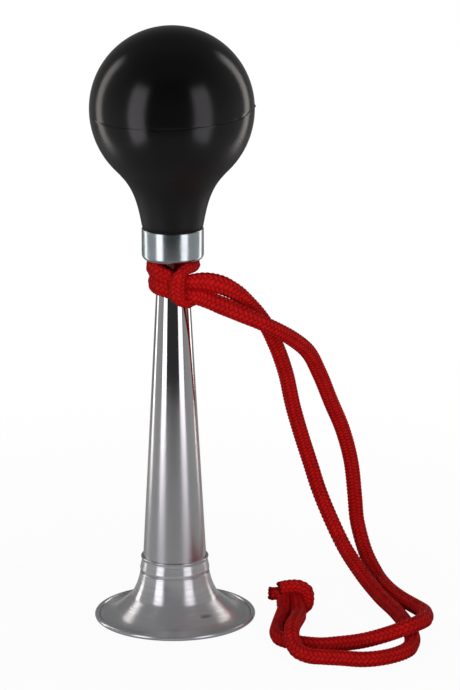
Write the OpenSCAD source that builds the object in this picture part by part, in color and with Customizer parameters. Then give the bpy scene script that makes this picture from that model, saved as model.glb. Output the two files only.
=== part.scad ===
// Bulb horn: rubber bulb, plated ferrule, tapered horn tube, spun bell, brass reed and a tied lanyard.
// Millimetres, +Z up. The origin is the centre of the bell's mouth, on the surface that it stands on.

/* [Bell] */
// Outer diameter of the bell's mouth
mouth_d = 57.6; // [52:0.2:64]
// Height from the mouth to the groove under the collar
bell_h = 17.2; // [14:0.2:19]
// Radius of the flare's curve
flare_r = 19.5; // [17:0.5:24]
// Thickness of the bell's sheet
bell_wall = 0.4; // [0.3:0.05:0.6]
// Diameter of the rolled bead on the rim
rim_bead_d = 1.6; // [1.2:0.1:2.2]
// Outer diameter of the collar at its foot
collar_d = 24.8; // [24.4:0.1:26.4]
// Height of the collar over the groove
collar_h = 5.4; // [4:0.2:8]
// Depth of the groove that stops the tube
groove_depth = 0.3; // [0.2:0.05:0.4]

/* [Horn tube] */
// Outer diameter of the tube's wide end
tube_wide_d = 23.1; // [22.4:0.1:23.4]
// Outer diameter of the tube's narrow end
tube_narrow_d = 10.6; // [10.2:0.1:11.2]
// Length of the tube from the bell's groove to the ferrule's floor
tube_len = 115; // [100:0.2:130]
// Thickness of the tube's sheet
tube_wall = 0.4; // [0.3:0.05:0.6]
// Width of the edge that is turned over inside the ferrule
tube_flange = 1.5; // [1:0.1:1.8]

/* [Ferrule] */
// Outer diameter of the ferrule
ferrule_d = 21.8; // [21:0.1:24]
// Height of the ferrule
ferrule_h = 11.2; // [9:0.2:14]
// Thickness of the ferrule's wall
ferrule_wall = 0.5; // [0.4:0.05:0.7]
// Radius of the ferrule's lower corner
ferrule_corner = 1.8; // [1:0.1:2.2]

/* [Bulb] */
// Diameter of the bulb
bulb_d = 57.6; // [50:0.2:66]
// Height of the bulb's centre over the ferrule's rim
bulb_rise = 42.4; // [38:0.2:48]
// Radius of the bulb's fuller lower half, seen from the side
bulb_low_r = 30; // [28:0.2:34]
// Thickness of the rubber
bulb_wall = 2.6; // [1.6:0.1:3.4]
// Diameter of the neck where it meets the ferrule's rim
neck_d = 21.6; // [21:0.1:23.6]
// Diameter of the bore in the neck
neck_bore_d = 15.8; // [15.4:0.1:16.6]

/* [Reed] */
// Outer diameter of the reed tube
reed_d = 5.2; // [4.6:0.1:5.6]
// Length of the reed tube
reed_len = 32; // [28:0.5:36]
// Thickness of the reed tube's wall
reed_wall = 0.5; // [0.4:0.05:0.6]
// Depth of the reed tube's flat face from its axis
reed_flat = 0.8; // [0.6:0.05:1]
// Width of the air slot in the flat face
slot_w = 2.2; // [1.6:0.1:2.6]
// Width of the tongue
tongue_w = 3.4; // [3:0.1:3.8]
// Thickness of the tongue
tongue_t = 0.25; // [0.2:0.05:0.35]
// How far the tongue's tip stands off the flat face
tongue_lift = 0.9; // [0.7:0.05:1.2]
// Height of the clamp plate
clamp_h = 3; // [2.8:0.1:4]
// Thickness of the clamp plate
clamp_t = 0.8; // [0.6:0.1:1.2]
// Diameter of the clamp screw's shank
screw_d = 1; // [0.8:0.1:1.2]
// Length of the bung's spigot inside the tube
spigot_len = 7; // [5:0.5:9]
// Diameter of the bung's spigot
spigot_d = 9; // [8.4:0.1:9.2]
// Diameter of the bung's flange
bung_d = 14.8; // [14:0.1:15]
// Thickness of the bung's flange
bung_t = 1.6; // [1.2:0.1:2.4]
// Height of the bung's hub over its flange
hub_h = 3.8; // [3:0.2:5]
// Diameter of the bung's hub
hub_d = 8.4; // [7.6:0.1:9]
// Thickness of the sealing washer
seal_t = 0.8; // [0.5:0.1:1.2]

/* [Lanyard] */
// Diameter of the lanyard's cord
cord_d = 5.2; // [4.6:0.1:5.2]

/* [Fits] */
// Clearance round pieces that are pressed or soldered together
joint_gap = 0.03; // [0.02:0.01:0.05]
// Clearance round the bulb's neck, which moves
neck_gap = 0.15; // [0.1:0.05:0.2]
// Clearance under the bulb where it rests on the ferrule
rest_gap = 0.3; // [0.2:0.05:0.4]
// Clearance on each face of the tongue at its clamp
tongue_gap = 0.1; // [0.08:0.01:0.12]

/* [Hidden] */
$fn = 96;

// Heights of the stacked pieces
groove_w = 0.4;
seat_z = bell_h + groove_w / 2;
floor_z = seat_z + tube_len;
ferrule_z = floor_z - ferrule_wall;
ferrule_top = ferrule_z + ferrule_h;
bulb_z = ferrule_top + bulb_rise;
seal_z = floor_z + tube_wall;
bung_z = seal_z + seal_t;
hub_z = bung_z + bung_t;
hub_top = hub_z + hub_h;
reed_z = bung_z - spigot_len;
reed_top = reed_z + reed_len;

// Radii that follow from the sizes above
tube_narrow_r = tube_narrow_d / 2;
tube_wide_r = tube_wide_d / 2;
collar_r = collar_d / 2;
bead_r = rim_bead_d / 2;
ferrule_r = ferrule_d / 2;
ferrule_bore_r = ferrule_r - ferrule_wall;
bulb_r = bulb_d / 2;

// Horn tube: outer radius at a height, and the slope of its side
tube_slope = (tube_wide_r - tube_narrow_r) / tube_len;
function tube_r(z) = tube_wide_r - tube_slope * (z - seat_z);

// Share of the bead's radius that is pressed flat where the horn stands
bead_flat = 0.12;
bead_z = bead_r * (1 - bead_flat);
// Angles round the bead where the flare's upper and lower faces run into it
bead_from = 155;
bead_to = 190;
bead_step = 15;

// Reed: where the clamp, the tongue and the slot lie
reed_r = reed_d / 2;
face_step = 0.5;
clamp_z = hub_top + face_step + clamp_h / 2;
slot_margin = 0.6;
slot_z = clamp_z + clamp_h / 2 + slot_margin;
cap_t = 0.8;
slot_top = reed_top - cap_t - slot_margin;
tongue_tip = reed_top - slot_margin;
tongue_y = -reed_flat - tongue_gap;
clamp_y = tongue_y - tongue_t - tongue_gap;
clamp_margin = 0.3;
clamp_w = 2 * sqrt(reed_r * reed_r - reed_flat * reed_flat) - clamp_margin;
screw_play = 0.25;
screw_head_d = 2.2 * screw_d;
screw_head_t = 0.7 * screw_d;

// Points on an arc about a centre, in equal steps between two angles
function arc(centre, r, from, to, steps) =
    [for (i = [0 : steps]) let (a = from + (to - from) * i / steps)
        centre + r * [cos(a), sin(a)]];

// Points on a cubic curve between two ends with their handles
function bezier(p, steps) =
    [for (i = [0 : steps]) let (t = i / steps, s = 1 - t)
        s * s * s * p[0] + 3 * s * s * t * p[1] + 3 * s * t * t * p[2] + t * t * t * p[3]];

// Centre of the arc of radius r from p to q, on the left of that line
function arc_centre(p, q, r) =
    let (d = q - p, half = norm(d) / 2, rise = sqrt(r * r - half * half))
        (p + q) / 2 + rise * [-d[1], d[0]] / norm(d);
function angle_of(v) = atan2(v[1], v[0]);

function unit(v) = v / norm(v);

// Lanyard routes: [x, y, z, half width across the wall, half width along it]
// The hitch starts at the upper strand, goes round the tube, over both strands and round again
hitch_thin = 1.6;
hitch_flat = 1.2;
hitch_turn = 1.4;
hitch_pinch = 1.75;
hitch_ease = 1.9;
hitch_mid = 2.0;
hitch_tall = 2.5;
cord_r = cord_d / 2;
hitch_route = [
    [10, -9.3, 126, cord_r, cord_r],
    [7, -9.1, 125.8, hitch_ease, hitch_ease],
    [4.2, -8.6, 125.6, hitch_thin, hitch_pinch],
    [1.5, -8.1, 125.8, hitch_thin, hitch_pinch],
    [-1.6, -7.6, 126.9, hitch_thin, hitch_mid],
    [-4.8, -6, 128.2, hitch_thin, hitch_mid],
    [-6.9, -3, 128.9, hitch_thin, hitch_tall],
    [-7.4, 0.5, 129.1, hitch_thin, hitch_tall],
    [-6.2, 4.3, 129.1, hitch_thin, hitch_tall],
    [-3.2, 6.9, 129.1, hitch_thin, hitch_tall],
    [0.8, 7.6, 129.1, hitch_thin, hitch_tall],
    [4.5, 6.1, 129.3, hitch_thin, hitch_mid],
    [7.1, 2.6, 129.6, hitch_thin, hitch_mid],
    [7.6, -1.5, 129.9, hitch_thin, hitch_thin],
    [6.7, -5.4, 130.1, hitch_thin, hitch_thin],
    [4.7, -9, 130.1, hitch_thin, hitch_thin],
    [2.7, -11.4, 128.9, hitch_thin, hitch_thin],
    [1.9, -11.8, 126.4, hitch_thin, hitch_mid],
    [1.7, -11.9, 123.6, hitch_thin, hitch_mid],
    [1.9, -12.1, 121, hitch_thin, hitch_mid],
    [2.9, -11.9, 118.8, hitch_turn, hitch_turn],
    [4.9, -9.8, 117.5, hitch_turn, hitch_turn],
    [6.8, -6, 117.4, hitch_turn, hitch_turn],
    [7.8, -1.7, 118, hitch_thin, hitch_mid],
    [7.5, 2.8, 119.2, hitch_thin, hitch_mid],
    [4.9, 6.4, 120.5, hitch_turn, hitch_tall],
    [1, 7.7, 121.5, hitch_flat, hitch_tall],
    [-3.2, 6.9, 122.3, hitch_flat, hitch_tall],
    [-6.1, 4.2, 123.1, hitch_flat, hitch_tall],
    [-7.2, 0.5, 123.5, hitch_flat, hitch_tall],
    [-6.7, -3.1, 123.4, hitch_flat, hitch_tall],
    [-4.8, -6.1, 122.9, hitch_turn, hitch_mid],
    [-1.6, -7.6, 122.2, hitch_thin, hitch_mid],
    [1.5, -8.2, 121.5, hitch_thin, hitch_pinch],
    [4.2, -8.7, 121.3, hitch_thin, hitch_pinch],
    [7, -9.1, 120.7, hitch_ease, hitch_ease],
    [10, -9.3, 120.1, cord_r, cord_r]];

// The upper strand swings down behind the horn, runs forward and turns back over the other to the knot
upper_route = [
    [10, -9.3, 126], [16, -9, 124.9], [22, -6.5, 121.3], [27, -2.5, 115.7], [31.5, 2, 109],
    [36.1, 9, 98.1], [39.7, 17, 85.8], [42.7, 26, 70], [46, 33, 56.6], [49.3, 38, 44.8],
    [52.5, 41, 33.8], [56.8, 41, 22.9], [61.6, 37, 13.5], [67.6, 27, 6.6], [73.6, 12.9, 2.9],
    [79.1, -5.2, 2.8], [82.2, -19.1, 2.8], [83.5, -29, 2.8], [83.5, -37, 2.8], [81.4, -45.6, 2.8],
    [75.2, -52, 2.8], [66, -55.2, 2.8], [57.5, -53.6, 2.8], [51.6, -52.6, 2.8], [47, -51.6, 2.9],
    [43.3, -49.1, 3.8], [41.6, -45.6, 5.6], [41.2, -41.8, 7.6], [41.6, -37.6, 8.7], [42.4, -33.2, 8.6],
    [43.2, -26.5, 7.4], [43.8, -20, 6], [44.1, -14, 4.9]];

// The lower strand starts in front, lands further back, runs outside, crosses over and lies flat to the knot
lower_route = [
    [10, -9.3, 120.1], [17, -12.3, 118.1], [24, -14, 115.4], [30, -13, 112.4], [37.1, -8, 107.6],
    [42.3, -2, 102.9], [47.5, 6, 96.3], [51.8, 15, 85.9], [56.1, 25, 72.8], [61, 35, 58.4],
    [64.4, 43.5, 43.3], [65.9, 49, 29.4], [67, 52, 18.2], [69.5, 46.5, 9.4], [73.2, 35.4, 3.9],
    [77.3, 19.8, 2.8], [81.7, 8.6, 2.8], [85.7, 0.8, 2.9], [88.5, -6.9, 3.6], [89, -19.3, 5.8],
    [86.6, -32.6, 8.5], [80.8, -39.4, 8.6], [73.5, -40, 6.2], [65.4, -38.2, 3.4], [57.7, -39.3, 2.8],
    [51.5, -40.6, 2.8], [46, -39.4, 2.8], [40.9, -36.9, 2.8], [37.3, -33, 2.8], [36.4, -27.5, 2.8],
    [37, -20.5, 3.1], [38.2, -14, 4]];

// Upper strand's end: through the knot, back underneath and over the top of both strands
knot_thin = 1.8;
knot_draw = 1.9;
knot_ease = 2.1;
knot_wrap = [
    [44.1, -14, 4.9, cord_r, cord_r],
    [44, -10, 5.2, knot_ease, knot_ease],
    [43.8, -6, 5.9, knot_draw, knot_draw],
    [43.3, -2, 6.5, knot_thin, knot_thin],
    [43.2, 2, 6.4, knot_thin, knot_thin],
    [42.6, 5.4, 5.8, knot_thin, knot_thin],
    [41, 7.2, 5, knot_thin, knot_thin],
    [39.2, 6.2, 3.7, knot_thin, knot_thin],
    [38.6, 3.2, 2.5, knot_thin, knot_thin],
    [39.6, 0.2, 2, knot_thin, knot_thin],
    [42.4, -1.4, 2, knot_thin, knot_thin],
    [45, -2, 2.4, knot_thin, knot_thin],
    [47, -2.2, 4, knot_thin, knot_thin],
    [47.6, -2.3, 6.8, knot_thin, knot_thin],
    [47.1, -2.4, 9.6, knot_thin, knot_thin],
    [44.7, -2.4, 11.2, knot_thin, knot_thin],
    [41.4, -2.2, 11.3, knot_thin, knot_thin],
    [38.5, -1.4, 10.6, knot_thin, knot_thin]];

// Lower strand's end: under the wrap and out to the side
knot_tail = [
    [38.2, -14, 4, cord_r, cord_r],
    [38.9, -10, 5, knot_ease, knot_ease],
    [39.2, -6, 5.9, knot_draw, knot_draw],
    [39.1, -2, 6.5, knot_thin, knot_thin],
    [38.8, 1.2, 6.7, knot_thin, knot_thin],
    [37.6, 3, 6.7, knot_thin, knot_thin],
    [35, 3.6, 6.6, knot_thin, knot_thin]];

// Cord sweeps: a smooth path through the route, its directions, and rings set square to it
smooth_steps = 2;
strand_sides = 10;
wound_sides = 8;

function catmull(a, b, c, d, t) =
    0.5 * (2 * b + t * (c - a) + t * t * (2 * a - 5 * b + 4 * c - d)
        + t * t * t * (3 * b - a - 3 * c + d));
function smooth(route, steps) = let (n = len(route) - 1)
    [for (i = [0 : n - 1], s = [0 : steps - 1])
        catmull(route[max(i - 1, 0)], route[i], route[i + 1], route[min(i + 2, n)], s / steps),
     route[n]];
function place(p) = [p[0], p[1], p[2]];

// Directions along a path, with both ends set square to the faces that they meet
function directions(path, first, last) = let (n = len(path) - 1)
    [for (i = [0 : n]) i == 0 ? first : i == n ? last : unit(place(path[i + 1]) - place(path[i - 1]))];

// Sideways directions that turn as little as possible from one ring to the next
function carried(along, side, i) = i == len(along) ? []
    : let (next = unit(side - (side * along[i]) * along[i]))
        concat([next], carried(along, next, i + 1));

// Sideways directions that point away from the horn's axis
function outward(path, along) =
    [for (i = [0 : len(path) - 1]) let (out = unit([path[i][0], path[i][1], 0]))
        unit(out - (out * along[i]) * along[i])];

function ring(p, along, side, sides) = let (up = cross(along, side))
    [for (k = [0 : sides - 1]) let (a = 360 * (k + 0.5) / sides)
        place(p) + p[3] * cos(a) * side + p[4] * sin(a) * up];
function rings(path, along, side, sides) =
    [for (i = [0 : len(path) - 1]) ring(path[i], along[i], side[i], sides)];

module tube(loops) {
    n = len(loops);
    sides = len(loops[0]);
    walls = [for (i = [0 : n - 2], k = [0 : sides - 1])
        let (a = i * sides + k, b = i * sides + (k + 1) % sides)
            each [[a, b, a + sides], [b, b + sides, a + sides]]];
    start = [for (k = [1 : sides - 2]) [0, k + 1, k]];
    last = (n - 1) * sides;
    end = [for (k = [1 : sides - 2]) [last, last + k, last + k + 1]];
    faces = [for (f = concat(walls, start, end)) [f[0], f[2], f[1]]];
    polyhedron([for (loop = loops) each loop], faces);
}

// Least distance between parts of a wound tube that are further apart along it than the given rings
function least_gap(loops, apart) =
    min([for (i = [0 : len(loops) - 1], j = [i + apart : 1 : len(loops) - 1])
        for (p = loops[i]) min([for (q = loops[j]) norm(p - q)])]);

// Colours
rubber_black = [0.05, 0.05, 0.05];
zinc = [0.72, 0.75, 0.8];
bright_tin = [0.8, 0.8, 0.82];
spun_metal = [0.66, 0.67, 0.7];
brass = [0.78, 0.6, 0.25];
washer_black = [0.1, 0.1, 0.1];
cord_red = [0.7, 0.03, 0.05];

// Outline of one side of the bulb, set in by a depth, from the neck up to the top
neck_lip = 0.6;
neck_lean = 10;
low_angle = 45;
bulb_steps = 14;
function bulb_side(depth, neck_r) =
    let (low = [bulb_r - bulb_low_r, bulb_z],
         shoulder = low + (bulb_low_r - depth) * [cos(low_angle), -sin(low_angle)],
         neck = [neck_r, ferrule_top + rest_gap + neck_lip],
         rise = shoulder[1] - neck[1],
         curve = [neck, neck + 0.5 * rise * [sin(neck_lean), cos(neck_lean)],
             shoulder - 0.4 * rise * [sin(low_angle), cos(low_angle)], shoulder])
    concat(bezier(curve, bulb_steps),
        [for (p = arc(low, bulb_low_r - depth, -low_angle, 0, bulb_steps)) if (p[1] > shoulder[1]) p],
        [for (p = arc([0, bulb_z], bulb_r - depth, 0, 90, bulb_steps)) if (p[1] > bulb_z)
            [max(p[0], 0), p[1]]]);

module bulb() {
    foot = floor_z + rest_gap;
    neck_in_r = ferrule_bore_r - neck_gap;
    foot_corner = ferrule_corner - ferrule_wall;
    outer = bulb_side(0, neck_d / 2);
    inner = bulb_side(bulb_wall, neck_bore_d / 2);
    color(rubber_black)
    rotate_extrude()
    polygon(concat(
        [[neck_bore_d / 2, foot]],
        arc([neck_in_r - foot_corner, foot + foot_corner], foot_corner, -90, 0, 6),
        [[neck_in_r, ferrule_top + rest_gap]],
        outer,
        [for (i = [len(inner) - 1 : -1 : 0]) inner[i]]));
}

module ferrule() {
    centre = [ferrule_r - ferrule_corner, ferrule_z + ferrule_corner];
    hole_r = tube_r(floor_z) + tube_slope * ferrule_wall + joint_gap;
    color(zinc)
    rotate_extrude()
    polygon(concat(
        [[hole_r, ferrule_z]],
        arc(centre, ferrule_corner, -90, 0, 8),
        [[ferrule_r, ferrule_top], [ferrule_bore_r, ferrule_top]],
        arc(centre, ferrule_corner - ferrule_wall, 0, -90, 8),
        [[hole_r, floor_z]]));
}

module horn_cone() {
    top = floor_z + tube_wall;
    color(bright_tin)
    rotate_extrude()
    polygon([
        [tube_wide_r - tube_wall, seat_z], [tube_wide_r, seat_z],
        [tube_narrow_r, floor_z], [tube_narrow_r + tube_flange, floor_z],
        [tube_narrow_r + tube_flange, top], [tube_r(top) - tube_wall, top]]);
}

module horn_bell() {
    foot = [collar_r, bell_h - groove_w / 2];
    bead = [mouth_d / 2 - bead_r, bead_z];
    rim = bead + bead_r * [cos(bead_from), sin(bead_from)];
    centre = arc_centre(foot, rim, flare_r);
    turn = [angle_of(foot - centre) + 360, angle_of(rim - centre) + 360];
    steps = 16;
    outer = arc(centre, flare_r, turn[0], turn[1], steps);
    inner = arc(centre, flare_r + bell_wall, turn[1], turn[0], steps);
    flat_turn = asin(bead_z / bead_r);
    collar_top = bell_h + groove_w / 2 + collar_h;
    bore_low = tube_r(seat_z) + joint_gap;
    bore_high = tube_r(collar_top) + joint_gap;
    ridge_r = tube_wide_r - tube_wall;
    color(spun_metal)
    rotate_extrude()
    polygon(concat(
        [[bore_high, collar_top], [bore_high + bell_wall, collar_top],
         [collar_r, seat_z + groove_w], [collar_r - groove_depth, bell_h]],
        outer,
        arc(bead, bead_r, bead_from - bead_step, -flat_turn, 8),
        arc(bead, bead_r, flat_turn - 180, bead_to - 360, 4),
        [for (i = [1 : steps]) inner[i]],
        [[ridge_r, bell_h - groove_w], [ridge_r, seat_z], [bore_low, seat_z]]));
}

module reed_bung() {
    color(brass)
    rotate_extrude()
    polygon([
        [reed_r + joint_gap, reed_z], [spigot_d / 2, reed_z], [spigot_d / 2, bung_z],
        [bung_d / 2, bung_z], [bung_d / 2, hub_z], [hub_d / 2, hub_z],
        [hub_d / 2, hub_top], [reed_r + joint_gap, hub_top]]);
}

module reed_seal() {
    seal_margin = 0.4;
    color(washer_black)
    translate([0, 0, seal_z])
    difference() {
        cylinder(h = seal_t, d = bung_d - seal_margin);
        translate([0, 0, -seal_t]) cylinder(h = 3 * seal_t, d = spigot_d + 2 * joint_gap);
    }
}

module reed_tube() {
    cut_z = hub_top + face_step;
    bore_r = reed_r - reed_wall;
    color(brass)
    difference() {
        translate([0, 0, reed_z]) cylinder(h = reed_len, r = reed_r);
        translate([-reed_d, -reed_flat - reed_d, cut_z]) cube([2 * reed_d, reed_d, reed_len]);
        translate([0, 0, reed_z - cap_t]) cylinder(h = cut_z - reed_z + cap_t, r = bore_r);
        intersection() {
            translate([0, 0, cut_z - cap_t]) cylinder(h = reed_top - cut_z, r = bore_r);
            translate([-reed_d, reed_wall - reed_flat, reed_z]) cube([2 * reed_d, reed_d, reed_len]);
        }
        translate([-slot_w / 2, -reed_d, slot_z]) cube([slot_w, reed_d, slot_top - slot_z]);
        translate([0, 0, clamp_z]) rotate([90, 0, 0]) cylinder(h = reed_d, d = screw_d + 2 * joint_gap);
    }
}

module reed_tongue() {
    root = clamp_z - clamp_h / 2;
    bend = clamp_z + clamp_h / 2;
    tip_y = -reed_flat - tongue_lift;
    color(brass)
    difference() {
        rotate([90, 0, 90]) linear_extrude(tongue_w, center = true)
            polygon([
                [tongue_y, root], [tongue_y, bend], [tip_y, tongue_tip],
                [tip_y - tongue_t, tongue_tip], [tongue_y - tongue_t, bend], [tongue_y - tongue_t, root]]);
        translate([0, 0, clamp_z]) rotate([90, 0, 0]) cylinder(h = reed_d, d = screw_d + 2 * screw_play);
    }
}

module reed_clamp() {
    color(brass)
    difference() {
        translate([-clamp_w / 2, clamp_y - clamp_t, clamp_z - clamp_h / 2])
            cube([clamp_w, clamp_t, clamp_h]);
        translate([0, 0, clamp_z]) rotate([90, 0, 0]) cylinder(h = reed_d, d = screw_d + 2 * joint_gap);
    }
}

module reed_screw() {
    head_y = clamp_y - clamp_t;
    slot = 0.25 * screw_d;
    color(zinc)
    translate([0, head_y, clamp_z])
    difference() {
        union() {
            rotate([90, 0, 0]) cylinder(h = screw_head_t, d = screw_head_d);
            rotate([-90, 0, 0]) cylinder(h = reed_wall - reed_flat - head_y, d = screw_d);
        }
        translate([-screw_head_d, -screw_head_t - slot, -slot / 2])
            cube([2 * screw_head_d, 2 * slot, slot]);
    }
}

module lanyard_hitch() {
    path = smooth(hitch_route, smooth_steps);
    along = directions(path, [-1, 0, 0], [1, 0, 0]);
    loops = rings(path, along, outward(path, along), wound_sides);
    echo(hitch_least_gap = least_gap(loops, 6 * smooth_steps));
    color(cord_red) tube(loops);
}

module strand(route) {
    path = [for (p = route) [p[0], p[1], p[2], cord_r, cord_r]];
    along = directions(path, [1, 0, 0], [0, 1, 0]);
    color(cord_red) tube(rings(path, along, carried(along, [0, -1, 0], 0), strand_sides));
}

module lanyard_upper_strand() {
    strand(upper_route);
}

module lanyard_lower_strand() {
    strand(lower_route);
}

module lanyard_knot() {
    wrap = smooth(knot_wrap, smooth_steps);
    wrap_along = directions(wrap, [0, 1, 0], [-1, 0, 0]);
    wrap_loops = rings(wrap, wrap_along, carried(wrap_along, [1, 0, 0], 0), wound_sides);
    tail = smooth(knot_tail, smooth_steps);
    tail_along = directions(tail, [0, 1, 0], [-1, 0, 0]);
    tail_loops = rings(tail, tail_along, carried(tail_along, [1, 0, 0], 0), wound_sides);
    between = min([for (a = wrap_loops, p = a) min([for (b = tail_loops, q = b) norm(p - q)])]);
    echo(knot_least_gap = min(between, least_gap(wrap_loops, 5 * smooth_steps)));
    color(cord_red) {
        tube(wrap_loops);
        tube(tail_loops);
    }
}

bulb();
ferrule();
horn_cone();
horn_bell();
reed_bung();
reed_seal();
reed_tube();
reed_tongue();
reed_clamp();
reed_screw();
lanyard_hitch();
lanyard_upper_strand();
lanyard_lower_strand();
lanyard_knot();
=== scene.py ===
"""Bulb horn with a braided wrist lanyard: finishes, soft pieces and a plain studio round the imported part."""

import math
import random
from collections import namedtuple

import bmesh
import bpy
import numpy as np
from bpy.props import FloatProperty, FloatVectorProperty, IntProperty, PointerProperty
from mathutils import Matrix, Vector
from mathutils.geometry import interpolate_bezier


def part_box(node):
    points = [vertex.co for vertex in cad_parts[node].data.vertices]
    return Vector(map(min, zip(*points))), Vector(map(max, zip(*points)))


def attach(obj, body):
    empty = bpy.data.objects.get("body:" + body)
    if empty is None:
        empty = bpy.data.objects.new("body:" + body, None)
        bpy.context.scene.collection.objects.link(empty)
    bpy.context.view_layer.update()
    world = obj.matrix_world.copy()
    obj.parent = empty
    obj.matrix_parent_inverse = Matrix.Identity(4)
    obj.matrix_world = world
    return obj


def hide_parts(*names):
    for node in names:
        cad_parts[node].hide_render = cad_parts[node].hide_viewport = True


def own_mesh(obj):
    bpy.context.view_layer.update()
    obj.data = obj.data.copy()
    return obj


bl_info = {
    "name": "Bulb Horn",
    "version": (1, 0, 0),
    "blender": (4, 5, 0),
    "location": "View3D > Sidebar > Bulb Horn",
    "description": "Builds a bulb horn with its finishes, its braided lanyard and a plain studio",
    "category": "Add Mesh",
}

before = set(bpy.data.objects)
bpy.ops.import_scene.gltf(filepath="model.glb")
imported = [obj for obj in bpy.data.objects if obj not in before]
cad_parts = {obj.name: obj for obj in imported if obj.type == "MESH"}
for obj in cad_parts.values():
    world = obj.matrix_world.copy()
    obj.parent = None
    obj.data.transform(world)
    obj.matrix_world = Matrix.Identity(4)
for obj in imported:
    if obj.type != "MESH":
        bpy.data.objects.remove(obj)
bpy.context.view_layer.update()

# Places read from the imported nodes, in metres
BULB_LOW, BULB_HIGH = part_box("bulb")
FERRULE_LOW, FERRULE_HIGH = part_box("ferrule")
TUBE_LOW, TUBE_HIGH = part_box("horn_cone")
BELL_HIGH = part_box("horn_bell")[1]

# Clearances and edges of the pressed and soldered joints, in metres
JOINT_GAP = 0.00003
NECK_GAP = 0.00015
REST_GAP = 0.0003
NECK_LIP = 0.0006
NECK_BORE = 0.0079
SHEET = 0.0004
TUBE_FLANGE = 0.0015

# The bulb's lower outline: angles in degrees, and the handles of its curve as shares of the rise
NECK_LEAN = 10
LOW_ANGLE = 45
NECK_HANDLE = 0.5
SHOULDER_HANDLE = 0.4

# Mould marks on the bulb: the direction that the seam's plane faces, and sizes in metres
SEAM_NORMAL = (-0.036, -0.047, 1.0)
SEAM_STUB = 0.0004
SEAM_STUB_WIDTH = 0.0022
NECK_RING_HEIGHT = 0.1623
NECK_RING_WIDTH = 0.0009
NECK_RING_LIFT = 0.00004

# Share of the ferrule's wall that its rim's outer rounding takes
RIM_ROUNDING = 0.8

# The bell's collar and the groove under it, in metres and degrees
LIP_RADIUS = 0.0004
LIP_FROM = 170
LIP_TO = -75
LIP_FOOT = 0.0012
COLLAR_TURN = 0.0012
COLLAR_BEND = 40
COLLAR_LEAN = 9
COLLAR_STOPS = (0.0, 0.08, 0.3, 0.6, 0.9, 1.0)
GROOVE_HALF = 0.0002
SHOULDER = 0.0004
SHOULDER_FROM = 110
SHOULDER_TO = 30
SHOULDER_STEPS = 6

# The flare: angles of its normal over level where its arcs meet, and the radii of the middle arcs in metres
FLARE_ANGLES = (9.4, 29.5, 46.0, 52.0, 88.0)
FLARE_RADII = (0.004, 0.072)

# The bell's rolled rim and the ring that a tool left on the flare, in metres and degrees
BEAD_SHARE = 0.88
BEAD_FROM = 200
BEAD_TO = 222
HEM_GAP = 0.00022
HEM_RISE = 0.00015
HEM_DEPTH = 0.00028
TOOL_RING = 0.0113
TOOL_RING_HALF = 0.00025
TOOL_RING_DEPTH = 0.00005

# Cord half widths in the wound stretches, in metres
CORD_R = 0.0026
EXIT_TALL = (0.0029, 0.0032, 0.0029)
HITCH_FLAT = 0.00135
HITCH_TURN = 0.0016
HITCH_THIN = 0.0018
HITCH_PINCH = 0.0022
HITCH_EASE = 0.0024
HITCH_MID = 0.0026
HITCH_TALL = 0.0030
KNOT_THIN = 0.0022
KNOT_LOW = 0.0019
KNOT_EASE = 0.0024

# Lanyard routes in metres; the wound stretches also have half widths, out from the tube and along it
UPPER_ROUTE = (
    (0.0100, -0.0093, 0.1260), (0.0160, -0.0090, 0.1249), (0.0220, -0.0065, 0.1213),
    (0.0270, -0.0025, 0.1157), (0.0315, 0.0020, 0.1090), (0.0361, 0.0090, 0.0981),
    (0.0397, 0.0170, 0.0858), (0.0427, 0.0260, 0.0700), (0.0460, 0.0330, 0.0566),
    (0.0493, 0.0380, 0.0448), (0.0525, 0.0410, 0.0338), (0.0568, 0.0410, 0.0229),
    (0.0616, 0.0370, 0.0135), (0.0676, 0.0270, 0.0066), (0.0736, 0.0129, 0.0029),
    (0.0791, -0.0052, 0.0028), (0.0822, -0.0191, 0.0028), (0.0835, -0.0290, 0.0028),
    (0.0835, -0.0370, 0.0028), (0.0814, -0.0456, 0.0028), (0.0752, -0.0520, 0.0028),
    (0.0660, -0.0552, 0.0028), (0.0575, -0.0536, 0.0028), (0.0516, -0.0526, 0.0028),
    (0.0470, -0.0516, 0.0029), (0.0433, -0.0491, 0.0038), (0.0416, -0.0456, 0.0056),
    (0.0412, -0.0418, 0.0076), (0.0416, -0.0376, 0.0087), (0.0424, -0.0332, 0.0086),
    (0.0432, -0.0265, 0.0074), (0.0438, -0.0200, 0.0060), (0.0441, -0.0140, 0.0049),
)
LOWER_ROUTE = (
    (0.0100, -0.0093, 0.1201), (0.0170, -0.0123, 0.1181), (0.0240, -0.0140, 0.1154),
    (0.0300, -0.0130, 0.1124), (0.0371, -0.0080, 0.1076), (0.0423, -0.0020, 0.1029),
    (0.0475, 0.0060, 0.0963), (0.0518, 0.0150, 0.0859), (0.0561, 0.0250, 0.0728),
    (0.0610, 0.0350, 0.0584), (0.0644, 0.0435, 0.0433), (0.0659, 0.0490, 0.0294),
    (0.0670, 0.0520, 0.0182), (0.0695, 0.0465, 0.0094), (0.0732, 0.0354, 0.0039),
    (0.0773, 0.0198, 0.0028), (0.0817, 0.0086, 0.0028), (0.0857, 0.0008, 0.0029),
    (0.0885, -0.0069, 0.0036), (0.0890, -0.0193, 0.0058), (0.0866, -0.0326, 0.0085),
    (0.0808, -0.0394, 0.0086), (0.0735, -0.0400, 0.0062), (0.0654, -0.0382, 0.0034),
    (0.0577, -0.0393, 0.0028), (0.0515, -0.0406, 0.0028), (0.0460, -0.0394, 0.0028),
    (0.0409, -0.0369, 0.0028), (0.0373, -0.0330, 0.0028), (0.0364, -0.0275, 0.0028),
    (0.0370, -0.0205, 0.0031), (0.0382, -0.0140, 0.0040),
)
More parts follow.
